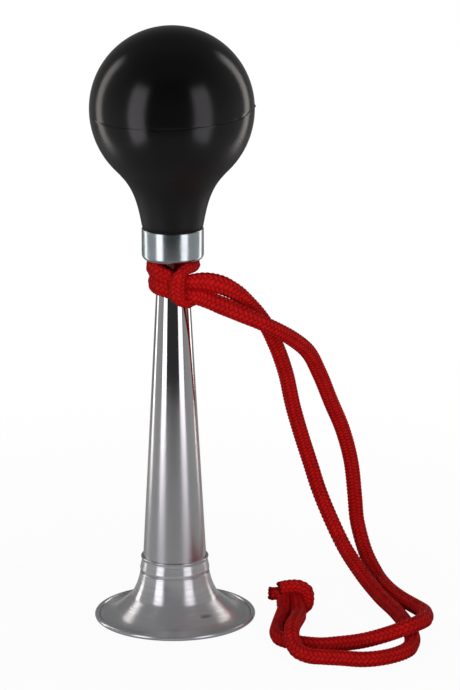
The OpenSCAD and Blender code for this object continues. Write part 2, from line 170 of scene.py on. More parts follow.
HITCH_ROUTE = (
    (0.0100, -0.0093, 0.1260, CORD_R, EXIT_TALL[0]),
    (0.0070, -0.0091, 0.1258, HITCH_EASE, CORD_R),
    (0.0042, -0.0086, 0.1256, HITCH_THIN, HITCH_PINCH),
    (0.0015, -0.0081, 0.1258, HITCH_THIN, HITCH_PINCH),
    (-0.0016, -0.0076, 0.1269, HITCH_THIN, HITCH_MID),
    (-0.0048, -0.0060, 0.1282, HITCH_THIN, HITCH_MID),
    (-0.0069, -0.0030, 0.1289, HITCH_THIN, HITCH_TALL),
    (-0.0074, 0.0005, 0.1291, HITCH_THIN, HITCH_TALL),
    (-0.0062, 0.0043, 0.1291, HITCH_THIN, HITCH_TALL),
    (-0.0032, 0.0069, 0.1291, HITCH_THIN, HITCH_TALL),
    (0.0008, 0.0076, 0.1291, HITCH_THIN, HITCH_TALL),
    (0.0045, 0.0061, 0.1293, HITCH_THIN, HITCH_MID),
    (0.0071, 0.0026, 0.1296, HITCH_THIN, HITCH_MID),
    (0.0076, -0.0015, 0.1299, HITCH_THIN, HITCH_THIN),
    (0.0067, -0.0054, 0.1301, HITCH_THIN, HITCH_THIN),
    (0.0047, -0.0090, 0.1301, HITCH_THIN, HITCH_THIN),
    (0.0027, -0.0114, 0.1289, HITCH_THIN, HITCH_THIN),
    (0.0019, -0.0118, 0.1264, HITCH_THIN, HITCH_MID),
    (0.0017, -0.0119, 0.1236, HITCH_THIN, HITCH_MID),
    (0.0019, -0.0121, 0.1212, HITCH_THIN, HITCH_MID),
    (0.0029, -0.0119, 0.1193, HITCH_TURN, HITCH_TURN),
    (0.0049, -0.0098, 0.1182, HITCH_TURN, HITCH_TURN),
    (0.0068, -0.0060, 0.1180, HITCH_TURN, HITCH_TURN),
    (0.0078, -0.0017, 0.1184, HITCH_THIN, HITCH_MID),
    (0.0075, 0.0028, 0.1194, HITCH_THIN, HITCH_MID),
    (0.0049, 0.0064, 0.1205, HITCH_TURN, HITCH_TALL),
    (0.0010, 0.0077, 0.1215, HITCH_FLAT, HITCH_TALL),
    (-0.0032, 0.0069, 0.1223, HITCH_FLAT, HITCH_TALL),
    (-0.0061, 0.0042, 0.1231, HITCH_FLAT, HITCH_TALL),
    (-0.0072, 0.0005, 0.1235, HITCH_FLAT, HITCH_TALL),
    (-0.0067, -0.0031, 0.1234, HITCH_FLAT, HITCH_TALL),
    (-0.0048, -0.0061, 0.1229, HITCH_TURN, HITCH_MID),
    (-0.0016, -0.0076, 0.1222, HITCH_THIN, HITCH_MID),
    (0.0015, -0.0082, 0.1215, HITCH_THIN, HITCH_PINCH),
    (0.0042, -0.0087, 0.1213, HITCH_THIN, HITCH_PINCH),
    (0.0070, -0.0091, 0.1207, HITCH_EASE, CORD_R),
    (0.0100, -0.0093, 0.1201, CORD_R, EXIT_TALL[0]),
)
KNOT_WRAP = (
    (0.0441, -0.0140, 0.0049, CORD_R, CORD_R),
    (0.0440, -0.0100, 0.0052, KNOT_EASE, KNOT_EASE),
    (0.0438, -0.0060, 0.0059, KNOT_THIN, KNOT_THIN),
    (0.0433, -0.0020, 0.0065, KNOT_THIN, KNOT_THIN),
    (0.0432, 0.0020, 0.0064, KNOT_THIN, KNOT_THIN),
    (0.0426, 0.0054, 0.0058, KNOT_THIN, KNOT_THIN),
    (0.0410, 0.0072, 0.0050, KNOT_THIN, KNOT_THIN),
    (0.0392, 0.0062, 0.0037, KNOT_THIN, KNOT_THIN),
    (0.0386, 0.0032, 0.0025, KNOT_LOW, KNOT_LOW),
    (0.0396, 0.0002, 0.0020, KNOT_LOW, KNOT_LOW),
    (0.0424, -0.0014, 0.0020, KNOT_LOW, KNOT_LOW),
    (0.0450, -0.0020, 0.0024, KNOT_LOW, KNOT_LOW),
    (0.0470, -0.0022, 0.0040, KNOT_THIN, KNOT_THIN),
    (0.0476, -0.0023, 0.0068, KNOT_THIN, KNOT_THIN),
    (0.0471, -0.0024, 0.0096, KNOT_THIN, KNOT_THIN),
    (0.0447, -0.0024, 0.0112, KNOT_THIN, KNOT_THIN),
    (0.0414, -0.0022, 0.0113, KNOT_THIN, KNOT_THIN),
    (0.0385, -0.0014, 0.0106, KNOT_THIN, KNOT_THIN),
)
KNOT_TAIL = (
    (0.0382, -0.0140, 0.0040, CORD_R, CORD_R),
    (0.0389, -0.0100, 0.0050, KNOT_EASE, KNOT_EASE),
    (0.0392, -0.0060, 0.0059, KNOT_THIN, KNOT_THIN),
    (0.0391, -0.0020, 0.0065, KNOT_THIN, KNOT_THIN),
    (0.0388, 0.0012, 0.0067, KNOT_THIN, KNOT_THIN),
    (0.0376, 0.0030, 0.0067, KNOT_THIN, KNOT_THIN),
    (0.0350, 0.0036, 0.0066, KNOT_THIN, KNOT_THIN),
)

# The plait: a yarn's steepness, its round top's share of the height, and the height at the cord's radius
YARN_STEEPNESS = 1.9
YARN_ROUNDING = 0.4
PLAIT_LEVEL = 0.72

# The pattern of over two and under two: yarns in one round of it, and where each way's yarns are highest
PLAIT_ROUND = 4.0
RIGHT_CREST = 1.0
LEFT_CREST = 3.0

# Names of the plait's attributes on the mesh
PLAIT_HEIGHT = "plait_height"
YARN_ACROSS = "yarn_across"

# Rings of cut yarns at a cord's end: how many, at which share of its radius, and how long in metres
FRAY_RINGS = ((8, 0.7, 0.0013), (3, 0.28, 0.0009))

# Cut yarns: thickness in metres, outward lean and its variation, shift round the ring, lift off the end
FRAY_THICK = 0.0009
FRAY_LEAN = 0.55
FRAY_WANDER = 0.15
FRAY_SHIFT = 0.6
FRAY_STAND = 0.15

# Ranges that each cut yarn draws from: share of its length, share of its thickness, and height for its shade
FRAY_LENGTHS = (0.6, 1.2)
FRAY_WIDTHS = (0.8, 1.25)
FRAY_SHADES = (0.4, 0.7)

# The cord's two cut ends: the ring that each is at, the way it points along the chain, and its random seed
CUT_ENDS = ((0, -1, 11), (-1, 1, 23))

# How finely round pieces and curves are made, and how near two corners merge, in metres
SPIN_STEPS = 192
CORNER_STEPS = 10
CURVE_STEPS = 28
MERGE_DISTANCE = 1e-7

# Heights between which the rubber turns matt towards the neck, in metres, and the roughness it gains
MATT_FROM = 0.183
MATT_TO = 0.162
MATTNESS = 0.36

# Heights between which the tube's plate loses its mirror, in metres, and the roughness it gains
DULL_FROM = 0.1
DULL_TO = 0.062
DULLNESS = 0.19

# Steps in the finishes: where each starts and ends, and the levels that it goes between
SMEAR_STEP = (0.35, 0.7)
PIT_STEP = (0.66, 0.72, 0.0, 0.32)
STREAK_STEP = (0.35, 0.65)
# The dark reflection's step: the painted reflection fades out from the spot's middle to its edge
DARK_REFLECTION_STEP = (1.0, 0.5, 0.0, 0.6)
DYE_STEP = (0.3, 0.7, 0.72, 1.0)
# The crest step: plait heights over which the braid's painted shade in the hollows gives way to the full red
CREST_STEP = (0.42, 0.98)

# Scale of the rubber's pits as a share of its grain's, and width of the fibres as a share of a yarn
PIT_SCALE = 0.2
FIBRE_WIDTH = 0.09

# Shares of red, green and blue in the zinc's warm clouds
ZINC_WARMTH = (1.08, 1.02, 0.93)

# Where a dark reflection is painted on the flare, and half the painted spot's size, in metres
DARK_REFLECTION_PLACE = (0.0112, -0.0158, 0.0047)
DARK_REFLECTION_HALF = (0.0033, 0.0024, 0.0006)

# Width of the camera's sensor, in millimetres
SENSOR = 36.0

# Upright strip lights: distance, middle, height and the level that nearness keeps, in metres, and the fade
STRIP_DISTANCE = 0.9
STRIP_MIDDLE = 0.15
STRIP_TALL = 1.65
STRIP_EYE = 0.185
STRIP_FADE = 0.2
FRONT_TINT = (1.0, 0.95, 1.0)
REAR_TINT = (1.0, 0.94, 0.90)

# Each strip: azimuth, share of the distance, width, lean, the setting of its brightness, share of it, tint
Strip = namedtuple("Strip", "name azimuth near width lean setting share tint")
STRIPS = (
    Strip("front_left_strip", -49.0, 1.0, 0.39, 0.0, "front_strip", 1.0, FRONT_TINT),
    Strip("front_right_strip", 44.5, 1.0, 0.41, 0.0, "front_strip", 0.82, FRONT_TINT),
    Strip("rear_left_strip", -118.5, 0.6, 0.22, 6.0, "rear_strip", 1.0, REAR_TINT),
    Strip("rear_right_strip", 127.0, 0.6, 0.22, -6.0, "rear_strip", 1.0, REAR_TINT),
)

# Soft fills that metal doesn't show: place and size in metres, and share of the fill's brightness
Fill = namedtuple("Fill", "name place size share")
FILLS = (
    Fill("overhead_fill", (0.0, -0.2, 1.3), (1.4, 1.4), 0.06),
    Fill("front_fill", (0.1, -1.7, 0.28), (1.5, 1.0), 3.2),
    Fill("rear_fill", (-0.1, 1.7, 0.5), (1.5, 1.0), 1.9),
)
FILL_TARGET = (0.0, 0.0, 0.1)

# The room's greys: where each step starts and ends along its axis, and the level at both ends
ROOM_FRONT = (-0.17, -0.28, 0.03, 0.09)
ROOM_SIDES = (-0.75, -0.35)
SIDE_GREY = 0.29
ROOM_REAR = (0.3, 0.8, 1.0, 0.45)
LOW_WALLS = (-0.15, 0.3, 1.0, 0.65)
CEILING = (0.25, 0.95, 1.0, 0.34)
BELOW = (-0.3, -0.6, 0.0, 0.19)
BACKDROP = (-0.3, 0.3, 0.0, 0.05)

# The floor: its size in metres, and the steps of its glow by distance and of its sheen by grazing view
FLOOR_RADIUS = 6.0
FLOOR_SIDES = 96
PAPER_GLOW = (0.06, 0.35, 0.95, 1.0)
PAPER_SHEEN = (0.55, 0.8, 0.13, 0.27)
PAPER_WHITE = (0.95, 0.95, 0.95, 1.0)
WHITE = (1.0, 1.0, 1.0, 1.0)

# The table top that reflections show: half its width and depth and its edge's fade in metres, and its finish
TABLE_WIDTH = 0.19
TABLE_DEPTH = 0.4
TABLE_FADE = 0.05
TABLE_GREY = (0.12, 0.12, 0.124, 1.0)
TABLE_GLOSS = 0.4


class BulbHornShape(bpy.types.PropertyGroup):
    """Sizes of the rubber bulb and of the metal horn."""

    bulb_radius: FloatProperty(
        name="Bulb radius", description="Outer radius of the bulb", default=BULB_HIGH.x, unit="LENGTH"
    )
    bulb_low_radius: FloatProperty(
        name="Lower bulb radius", description="Radius of the bulb's fuller lower half",
        default=0.030, unit="LENGTH",
    )
    bulb_wall: FloatProperty(
        name="Rubber thickness", description="Thickness of the bulb's wall",
        default=0.0026, unit="LENGTH",
    )
    neck_radius: FloatProperty(
        name="Neck radius", description="Radius of the neck at the ferrule's rim",
        default=0.0108, unit="LENGTH",
    )
    seam_height: FloatProperty(
        name="Seam height", description="Height of the mould's parting line",
        default=0.1853, unit="LENGTH",
    )
    seam_width: FloatProperty(
        name="Seam width", description="Half width of the parting line", default=0.00028, unit="LENGTH"
    )
    seam_depth: FloatProperty(
        name="Seam depth", description="How deep the trimmed parting line is",
        default=0.00016, unit="LENGTH",
    )
    ferrule_wall: FloatProperty(
        name="Ferrule thickness", description="Thickness of the ferrule's sheet",
        default=0.0005, unit="LENGTH",
    )
    ferrule_corner: FloatProperty(
        name="Ferrule corner", description="Radius of the ferrule's lower corner",
        default=0.0018, unit="LENGTH",
    )
    tube_narrow_radius: FloatProperty(
        name="Tube's narrow radius", description="Outer radius of the tube under the ferrule",
        default=0.0053, unit="LENGTH",
    )
    collar_radius: FloatProperty(
        name="Collar radius", description="Outer radius of the bell's collar at its foot",
        default=0.0124, unit="LENGTH",
    )
    groove_height: FloatProperty(
        name="Groove height", description="Height of the groove under the collar",
        default=0.0172, unit="LENGTH",
    )
    groove_depth: FloatProperty(
        name="Groove depth", description="Depth of the groove under the collar",
        default=0.0003, unit="LENGTH",
    )
    rim_bead_radius: FloatProperty(
        name="Rim bead radius", description="Radius of the rolled bead on the mouth",
        default=0.0008, unit="LENGTH",
    )


class BulbHornLanyard(bpy.types.PropertyGroup):
    """Sizes of the braided cord."""

    cord_diameter: FloatProperty(
        name="Cord diameter", description="Diameter of the cord over its plait",
        default=0.0052, unit="LENGTH",
    )
    plait_lead: FloatProperty(
        name="Plait lead", description="Length in which a yarn goes once round the cord",
        default=0.013, unit="LENGTH",
    )
    plait_depth: FloatProperty(
        name="Plait depth", description="Height of the yarns over the hollows between them",
        default=0.00095, unit="LENGTH",
    )
    yarns: IntProperty(
        name="Yarns each way", description="Number of yarns that turn each way, a multiple of four",
        default=8,
    )
    cord_sides: IntProperty(
        name="Cord sides", description="Number of faces round the cord", default=64
    )
    ring_step: FloatProperty(
        name="Ring step", description="Distance between the rings along the cord",
        default=0.00026, unit="LENGTH",
    )


class BulbHornColours(bpy.types.PropertyGroup):
    """Colours of the finishes."""

    rubber: FloatVectorProperty(
        name="Rubber", description="Black moulded rubber", subtype="COLOR",
        default=(0.0028, 0.0026, 0.0028),
    )
    chrome: FloatVectorProperty(
        name="Chrome", description="Bright plate on the tube", subtype="COLOR",
        default=(0.72, 0.72, 0.735),
    )
    zinc: FloatVectorProperty(
        name="Zinc", description="Zinc plate on the ferrule", subtype="COLOR",
        default=(0.58, 0.66, 0.72),
    )
    spun_metal: FloatVectorProperty(
        name="Spun metal", description="Plated spun sheet of the bell", subtype="COLOR",
        default=(0.76, 0.77, 0.79),
    )
    brass: FloatVectorProperty(
        name="Brass", description="Brass of the reed", subtype="COLOR", default=(0.72, 0.50, 0.20)
    )
    cord_crest: FloatVectorProperty(
        name="Cord", description="Crests of the braid", subtype="COLOR", default=(0.56, 0.008, 0.008)
    )
    # Painted shade: the dark colour painted into the hollows between the braid's yarns
    cord_hollow_painted_shade: FloatVectorProperty(
        name="Cord hollows", description="Hollows between the braid's yarns", subtype="COLOR",
        default=(0.08, 0.0007, 0.0007),
    )


class BulbHornStudio(bpy.types.PropertyGroup):
    """The camera and the lights."""

    camera_place: FloatVectorProperty(
        name="Camera place", description="Where the camera stands", subtype="TRANSLATION",
        default=(0.01995, -1.30958, 0.46087),
    )
    camera_pitch: FloatProperty(
        name="Camera pitch", description="How far the camera looks down", subtype="ANGLE",
        default=math.radians(15.391),
    )
    camera_roll: FloatProperty(
        name="Camera roll", description="How far the camera leans", subtype="ANGLE",
        default=math.radians(-0.139),
    )
    camera_lens: FloatProperty(
        name="Focal length", description="Focal length of the camera's lens",
        default=201.0, unit="CAMERA",
    )
    front_strip: FloatProperty(
        name="Front strips", description="Brightness of the two strip lights in front", default=1.75
    )
    rear_strip: FloatProperty(
        name="Rear strips", description="Brightness of the two strip lights behind", default=1.75
    )
    fill: FloatProperty(
        name="Fill", description="Brightness of the soft fills", default=1.5
    )


def add_node(tree, kind, settings=None, inputs=None):
    """Adds a shader node with its settings, and with a value or a link on each named input."""
    node = tree.nodes.new(kind)
    for name, value in (settings or {}).items():
        setattr(node, name, value)
    for name, value in (inputs or {}).items():
        if isinstance(value, bpy.types.NodeSocket):
            tree.links.new(value, node.inputs[name])
        else:
            node.inputs[name].default_value = value
    return node


def math_node(tree, operation, first, second=0.0):
    """The result of one sum on one or two values."""
    return add_node(tree, "ShaderNodeMath", {"operation": operation}, {0: first, 1: second}).outputs["Value"]


def smooth_step(tree, value, start, end, low=0.0, high=1.0):
    """A value that goes smoothly from low to high as another goes from start to end."""
    step = add_node(tree, "ShaderNodeMapRange", {"interpolation_type": "SMOOTHSTEP"}, {
        "Value": value, "From Min": start, "From Max": end, "To Min": low, "To Max": high,
    })
    return step.outputs["Result"]


def straight_step(tree, value, start, end, low, high):
    """A value that goes evenly from low to high as another goes from start to end."""
    step = add_node(tree, "ShaderNodeMapRange", None, {
        "Value": value, "From Min": start, "From Max": end, "To Min": low, "To Max": high,
    })
    return step.outputs["Result"]


def clouds(tree, place, scale, detail):
    """Soft random clouds, from 0 to 1."""
    noise = add_node(tree, "ShaderNodeTexNoise", None, {"Vector": place, "Scale": scale, "Detail": detail})
    return noise.outputs["Fac"]


def axes_of(tree, vector):
    """The three parts of a vector, under their letters."""
    return add_node(tree, "ShaderNodeSeparateXYZ", None, {"Vector": vector}).outputs


def mixed_colour(tree, share, first, second):
    """A colour that goes from one to another with a share."""
    mix = add_node(tree, "ShaderNodeMix", {"data_type": "RGBA"}, {"Factor": share, "A": first, "B": second})
    return mix.outputs["Result"]


def opaque(colour, share=1.0):
    """A share of a colour with full alpha, as a colour socket takes it."""
    return (*(share * part for part in colour), 1.0)


def new_group(name, inputs, outputs):
    """Starts a node group with named inputs and outputs, and returns it with its two end nodes' sockets."""
    group = bpy.data.node_groups.new(name, "ShaderNodeTree")
    for label, kind in inputs:
        group.interface.new_socket(label, in_out="INPUT", socket_type=kind)
    for label, kind in outputs:
        group.interface.new_socket(label, in_out="OUTPUT", socket_type=kind)
    return group, group.nodes.new("NodeGroupInput").outputs, group.nodes.new("NodeGroupOutput").inputs


def handling_marks():
    """Group: roughness that wanders between two values, as on a surface that hands have wiped."""
    if "Handling marks" in bpy.data.node_groups:
        return bpy.data.node_groups["Handling marks"]
    group, given, result = new_group(
        "Handling marks",
        [("Vector", "NodeSocketVector"), ("Scale", "NodeSocketFloat"),
         ("Clean", "NodeSocketFloat"), ("Wiped", "NodeSocketFloat")],
        [("Roughness", "NodeSocketFloat")],
    )
    smear = add_node(group, "ShaderNodeTexNoise", None, {
        "Vector": given["Vector"], "Scale": given["Scale"],
        "Detail": 5.0, "Roughness": 0.6, "Distortion": 0.9,
    })
    spread = straight_step(group, smear.outputs["Fac"], *SMEAR_STEP, given["Clean"], given["Wiped"])
    group.links.new(spread, result["Roughness"])
    return group


def turned_lines():
    """Group: fine lines round the horn's axis, as a spinning or turning tool leaves them."""
    if "Turned lines" in bpy.data.node_groups:
        return bpy.data.node_groups["Turned lines"]
    group, given, result = new_group(
        "Turned lines",
        [("Vector", "NodeSocketVector"), ("Lines per metre", "NodeSocketFloat")],
        [("Height", "NodeSocketFloat")],
    )
    axes = axes_of(group, given["Vector"])
    flat = add_node(group, "ShaderNodeCombineXYZ", None, {"X": axes["X"], "Y": axes["Y"]})
    radius = add_node(group, "ShaderNodeVectorMath", {"operation": "LENGTH"}, {0: flat.outputs["Vector"]})
    lines = add_node(group, "ShaderNodeTexNoise", {"noise_dimensions": "1D"}, {
        "W": math_node(group, "SUBTRACT", radius.outputs["Value"], axes["Z"]),
        "Scale": given["Lines per metre"], "Detail": 3.0, "Roughness": 0.7,
    })
    group.links.new(lines.outputs["Fac"], result["Height"])
    return group


def fine_grain():
    """Group: the fine even skin of moulded rubber, with a rare pit."""
    if "Fine grain" in bpy.data.node_groups:
        return bpy.data.node_groups["Fine grain"]
    group, given, result = new_group(
        "Fine grain",
        [("Vector", "NodeSocketVector"), ("Scale", "NodeSocketFloat")],
        [("Height", "NodeSocketFloat")],
    )
    skin = add_node(group, "ShaderNodeTexNoise", None, {
        "Vector": given["Vector"], "Scale": given["Scale"], "Detail": 3.0, "Roughness": 0.55,
    })
    cells = add_node(group, "ShaderNodeTexVoronoi", {"feature": "F1"}, {
        "Vector": given["Vector"], "Scale": math_node(group, "MULTIPLY", given["Scale"], PIT_SCALE),
    })
    patches = clouds(group, given["Vector"], scale=130.0, detail=1.0)
    pit_size = straight_step(group, patches, *PIT_STEP)
    pits = math_node(group, "LESS_THAN", cells.outputs["Distance"], pit_size)
    group.links.new(math_node(group, "SUBTRACT", skin.outputs["Fac"], pits), result["Height"])
    return group


def place_group(tree, group, inputs):
    """Places a node group in a material, and returns its one result."""
    return add_node(tree, "ShaderNodeGroup", {"node_tree": group}, inputs).outputs[0]


def wiped_roughness(tree, place, scale, clean, wiped):
    """Roughness with handling marks, between a clean and a wiped value."""
    inputs = {"Vector": place, "Scale": scale, "Clean": clean, "Wiped": wiped}
    return place_group(tree, handling_marks(), inputs)


def new_material(name):
    """Starts a material, and returns it with its tree, its shader and its Object coordinates."""
    material = bpy.data.materials.new(name)
    material.use_nodes = True
    tree = material.node_tree
    place = add_node(tree, "ShaderNodeTexCoord").outputs["Object"]
    return material, tree, tree.nodes["Principled BSDF"], place


def add_bump(tree, shader, height, strength, distance):
    """Feeds a height through a Bump node to a shader's normal."""
    inputs = {"Height": height, "Strength": strength, "Distance": distance}
    bump = add_node(tree, "ShaderNodeBump", None, inputs)
    tree.links.new(bump.outputs["Normal"], shader.inputs["Normal"])


def rubber_finish(colours):
    """Satin black rubber: soft reflections, matt towards the neck, a fine moulded skin and a few pits."""
    material, tree, shader, place = new_material("satin_black_rubber")
    shader.inputs["Specular IOR Level"].default_value = 0.42
    bloom = clouds(tree, place, scale=28.0, detail=4.0)
    dark, pale = opaque(colours.rubber, share=0.75), opaque(colours.rubber, share=1.35)
    tone = mixed_colour(tree, bloom, dark, pale)
    tree.links.new(tone, shader.inputs["Base Color"])
    marks = wiped_roughness(tree, place, scale=45.0, clean=0.15, wiped=0.20)
    matt = smooth_step(tree, axes_of(tree, place)["Z"], MATT_FROM, MATT_TO, 0.0, MATTNESS)
    tree.links.new(math_node(tree, "ADD", marks, matt), shader.inputs["Roughness"])
    grain = place_group(tree, fine_grain(), {"Vector": place, "Scale": 4200.0})
    add_bump(tree, shader, grain, strength=0.25, distance=0.00004)
    return material


def seal_finish(colours):
    """Matt black washer rubber."""
    material, tree, shader, place = new_material("matt_seal_rubber")
    shader.inputs["Base Color"].default_value = opaque(colours.rubber, share=2.0)
    marks = wiped_roughness(tree, place, scale=300.0, clean=0.55, wiped=0.75)
    tree.links.new(marks, shader.inputs["Roughness"])
    grain = place_group(tree, fine_grain(), {"Vector": place, "Scale": 6000.0})
    add_bump(tree, shader, grain, strength=0.4, distance=0.00005)
    return material


def chrome_finish(colours):
    """Mirror plate on rolled sheet: nearly sharp near the ferrule, and duller towards the bell."""
    material, tree, shader, place = new_material("bright_chrome_plate")
    shader.inputs["Metallic"].default_value = 1.0
    shader.inputs["Base Color"].default_value = opaque(colours.chrome)
    marks = wiped_roughness(tree, place, scale=60.0, clean=0.03, wiped=0.075)
    dull = smooth_step(tree, axes_of(tree, place)["Z"], DULL_FROM, DULL_TO, 0.0, DULLNESS)
    tree.links.new(math_node(tree, "ADD", marks, dull), shader.inputs["Roughness"])
    drawn = add_node(tree, "ShaderNodeMapping", None, {"Vector": place, "Scale": (1.0, 1.0, 0.12)})
    waver = clouds(tree, drawn.outputs["Vector"], scale=140.0, detail=2.0)
    add_bump(tree, shader, waver, strength=0.12, distance=0.0004)
    return material


def zinc_finish(colours):
    """Bright zinc plate: a bluish metal with faint warm clouds and fine drawn lines."""
    material, tree, shader, place = new_material("bright_zinc_plate")
    shader.inputs["Metallic"].default_value = 1.0
    warm = opaque(share * part for share, part in zip(ZINC_WARMTH, colours.zinc))
    tone = mixed_colour(tree, clouds(tree, place, scale=90.0, detail=3.0), opaque(colours.zinc), warm)
    tree.links.new(tone, shader.inputs["Base Color"])
    marks = wiped_roughness(tree, place, scale=120.0, clean=0.18, wiped=0.27)
    tree.links.new(marks, shader.inputs["Roughness"])
    lines = place_group(tree, turned_lines(), {"Vector": place, "Lines per metre": 3500.0})
    add_bump(tree, shader, lines, strength=0.06, distance=0.00003)
    return material


def spun_finish(colours):
    """Plated spun sheet: soft reflections crossed by the spinning tool's fine lines, and one painted dark
    reflection on the flare.
    """
    material, tree, shader, place = new_material("spun_plated_sheet")
    shader.inputs["Metallic"].default_value = 0.75
    shader.inputs["Anisotropic"].default_value = 0.8
    shader.inputs["Anisotropic Rotation"].default_value = 0.25
    lines = place_group(tree, turned_lines(), {"Vector": place, "Lines per metre": 1100.0})
    bright = smooth_step(tree, lines, *STREAK_STEP)
    dim = opaque(colours.spun_metal, share=0.86)
    streaks = mixed_colour(tree, bright, dim, opaque(colours.spun_metal))
    # Painted reflection: a dark spot on the flare's lower front stands for a dark reflection
    offset = add_node(tree, "ShaderNodeVectorMath", {"operation": "SUBTRACT"}, {0: place, 1: DARK_REFLECTION_PLACE})
    spread = add_node(tree, "ShaderNodeVectorMath", {"operation": "DIVIDE"}, {
        0: offset.outputs["Vector"], 1: DARK_REFLECTION_HALF,
    })
    reach = add_node(tree, "ShaderNodeVectorMath", {"operation": "LENGTH"}, {0: spread.outputs["Vector"]})
    painted_dark_reflection = smooth_step(tree, reach.outputs["Value"], *DARK_REFLECTION_STEP)
    tone = mixed_colour(tree, painted_dark_reflection, streaks, opaque(colours.spun_metal, share=0.2))
    tree.links.new(tone, shader.inputs["Base Color"])
    marks = wiped_roughness(tree, place, scale=75.0, clean=0.19, wiped=0.27)
    tree.links.new(marks, shader.inputs["Roughness"])
    add_bump(tree, shader, lines, strength=0.8, distance=0.00006)
    return material


def brass_finish(colours):
    """Turned brass, a little tarnished in clouds."""
    material, tree, shader, place = new_material("turned_brass")
    shader.inputs["Metallic"].default_value = 1.0
    tarnish = clouds(tree, place, scale=260.0, detail=4.0)
    tone = mixed_colour(tree, tarnish, opaque(colours.brass), opaque(colours.brass, share=0.7))
    tree.links.new(tone, shader.inputs["Base Color"])
    marks = wiped_roughness(tree, place, scale=200.0, clean=0.18, wiped=0.35)
    tree.links.new(marks, shader.inputs["Roughness"])
    lines = place_group(tree, turned_lines(), {"Vector": place, "Lines per metre": 5000.0})
    add_bump(tree, shader, lines, strength=0.15, distance=0.00003)
    return material


def braid_finish(colours):
    """Red braided yarn: full red on the crests and painted shade in the hollows between the yarns, with the
    fibres along each yarn.
    """
    material, tree, shader, place = new_material("red_braided_yarn")
    shader.inputs["Roughness"].default_value = 0.75
    shader.inputs["Specular IOR Level"].default_value = 0.1
    height = add_node(tree, "ShaderNodeAttribute", {"attribute_name": PLAIT_HEIGHT}).outputs["Fac"]
    across = add_node(tree, "ShaderNodeAttribute", {"attribute_name": YARN_ACROSS}).outputs["Fac"]
    dye = clouds(tree, place, scale=220.0, detail=4.0)
    uneven = straight_step(tree, dye, *DYE_STEP)
    # Painted shade: the red darkens towards the hollow colour as the plait's height falls, and the dye's
    # random unevenness darkens it too
    dye_and_painted_shade = math_node(tree, "MULTIPLY", smooth_step(tree, height, *CREST_STEP), uneven)
    tone = mixed_colour(tree, dye_and_painted_shade, opaque(colours.cord_hollow_painted_shade), opaque(colours.cord_crest))
    tree.links.new(tone, shader.inputs["Base Color"])
    fibres = math_node(tree, "PINGPONG", across, FIBRE_WIDTH)
    add_bump(tree, shader, fibres, strength=0.35, distance=0.0006)
    return material


def new_piece(name, bm, finish, sharp_angle=40):
    """Turns a bmesh into an object at the origin with its finish."""
    mesh = bpy.data.meshes.new(name)
    bm.to_mesh(mesh)
    bm.free()
    mesh.materials.append(finish)
    mesh.shade_smooth()
    mesh.set_sharp_from_angle(angle=math.radians(sharp_angle))
    piece = bpy.data.objects.new(name, mesh)
    bpy.context.scene.collection.objects.link(piece)
    return piece


def arc(centre, radius, start, end, steps=CORNER_STEPS):
    """Outline points on an arc about a centre, in equal steps between two angles in degrees."""
    return [
        (centre[0] + radius * math.cos(angle), centre[1] + radius * math.sin(angle))
        for angle in np.radians(np.linspace(start, end, steps + 1))
    ]


def spun(outline):
    """Spins a closed outline of (radius, height) points once round the horn's axis."""
    bm = bmesh.new()
    corners = [bm.verts.new((radius, 0.0, height)) for radius, height in outline]
    edges = [bm.edges.new(pair) for pair in zip(corners, corners[1:] + corners[:1])]
    bmesh.ops.spin(
        bm, geom=corners + edges, cent=(0, 0, 0), axis=(0, 0, 1), angle=math.tau,
        steps=SPIN_STEPS, use_merge=True,
    )
    bmesh.ops.remove_doubles(bm, verts=bm.verts, dist=MERGE_DISTANCE)
    bmesh.ops.recalc_face_normals(bm, faces=bm.faces)
    return bm


def bulb_side(shape, depth, neck_radius):
    """One side of the bulb's outline, set in by a depth, from the neck up to the top."""
    centre_z = BULB_HIGH.z - shape.bulb_radius
    low = (shape.bulb_radius - shape.bulb_low_radius, centre_z)
    low_arc = arc(low, shape.bulb_low_radius - depth, -LOW_ANGLE, 0, CURVE_STEPS)
    neck = Vector((neck_radius, FERRULE_HIGH.z + REST_GAP + NECK_LIP))
    shoulder = Vector(low_arc[0])
    rise = shoulder.y - neck.y
    lean, slope = math.radians(NECK_LEAN), math.radians(LOW_ANGLE)
    curve = interpolate_bezier(
        neck,
        neck + NECK_HANDLE * rise * Vector((math.sin(lean), math.cos(lean))),
        shoulder - SHOULDER_HANDLE * rise * Vector((math.sin(slope), math.cos(slope))),
        shoulder,
        CURVE_STEPS,
    )
    top = arc((0.0, centre_z), shape.bulb_radius - depth, 0, 90, CURVE_STEPS)
    return [tuple(p) for p in curve] + low_arc[1:-1] + top


def line_round(bm, point, normal, half_width, lift):
    """Cuts three rings round a shell's outer wall and moves the middle one in or out."""
    def outer_wall():
        """The faces that look away from the axis, with their edges and corners."""
        faces = [f for f in bm.faces if f.normal.dot(f.calc_center_median() * Vector((1, 1, 0))) > 0]
        edges = {e for f in faces for e in f.edges}
        corners = {v for f in faces for v in f.verts}
        return faces + list(edges) + list(corners)

    for offset in (-half_width, half_width, 0.0):
        cut = bmesh.ops.bisect_plane(
            bm, geom=outer_wall(), dist=MERGE_DISTANCE, plane_co=point + offset * normal, plane_no=normal
        )
        bm.normal_update()

    # The last cut is the middle ring
    for corner in cut["geom_cut"]:
        if isinstance(corner, bmesh.types.BMVert):
            corner.co += lift(corner.co) * corner.normal


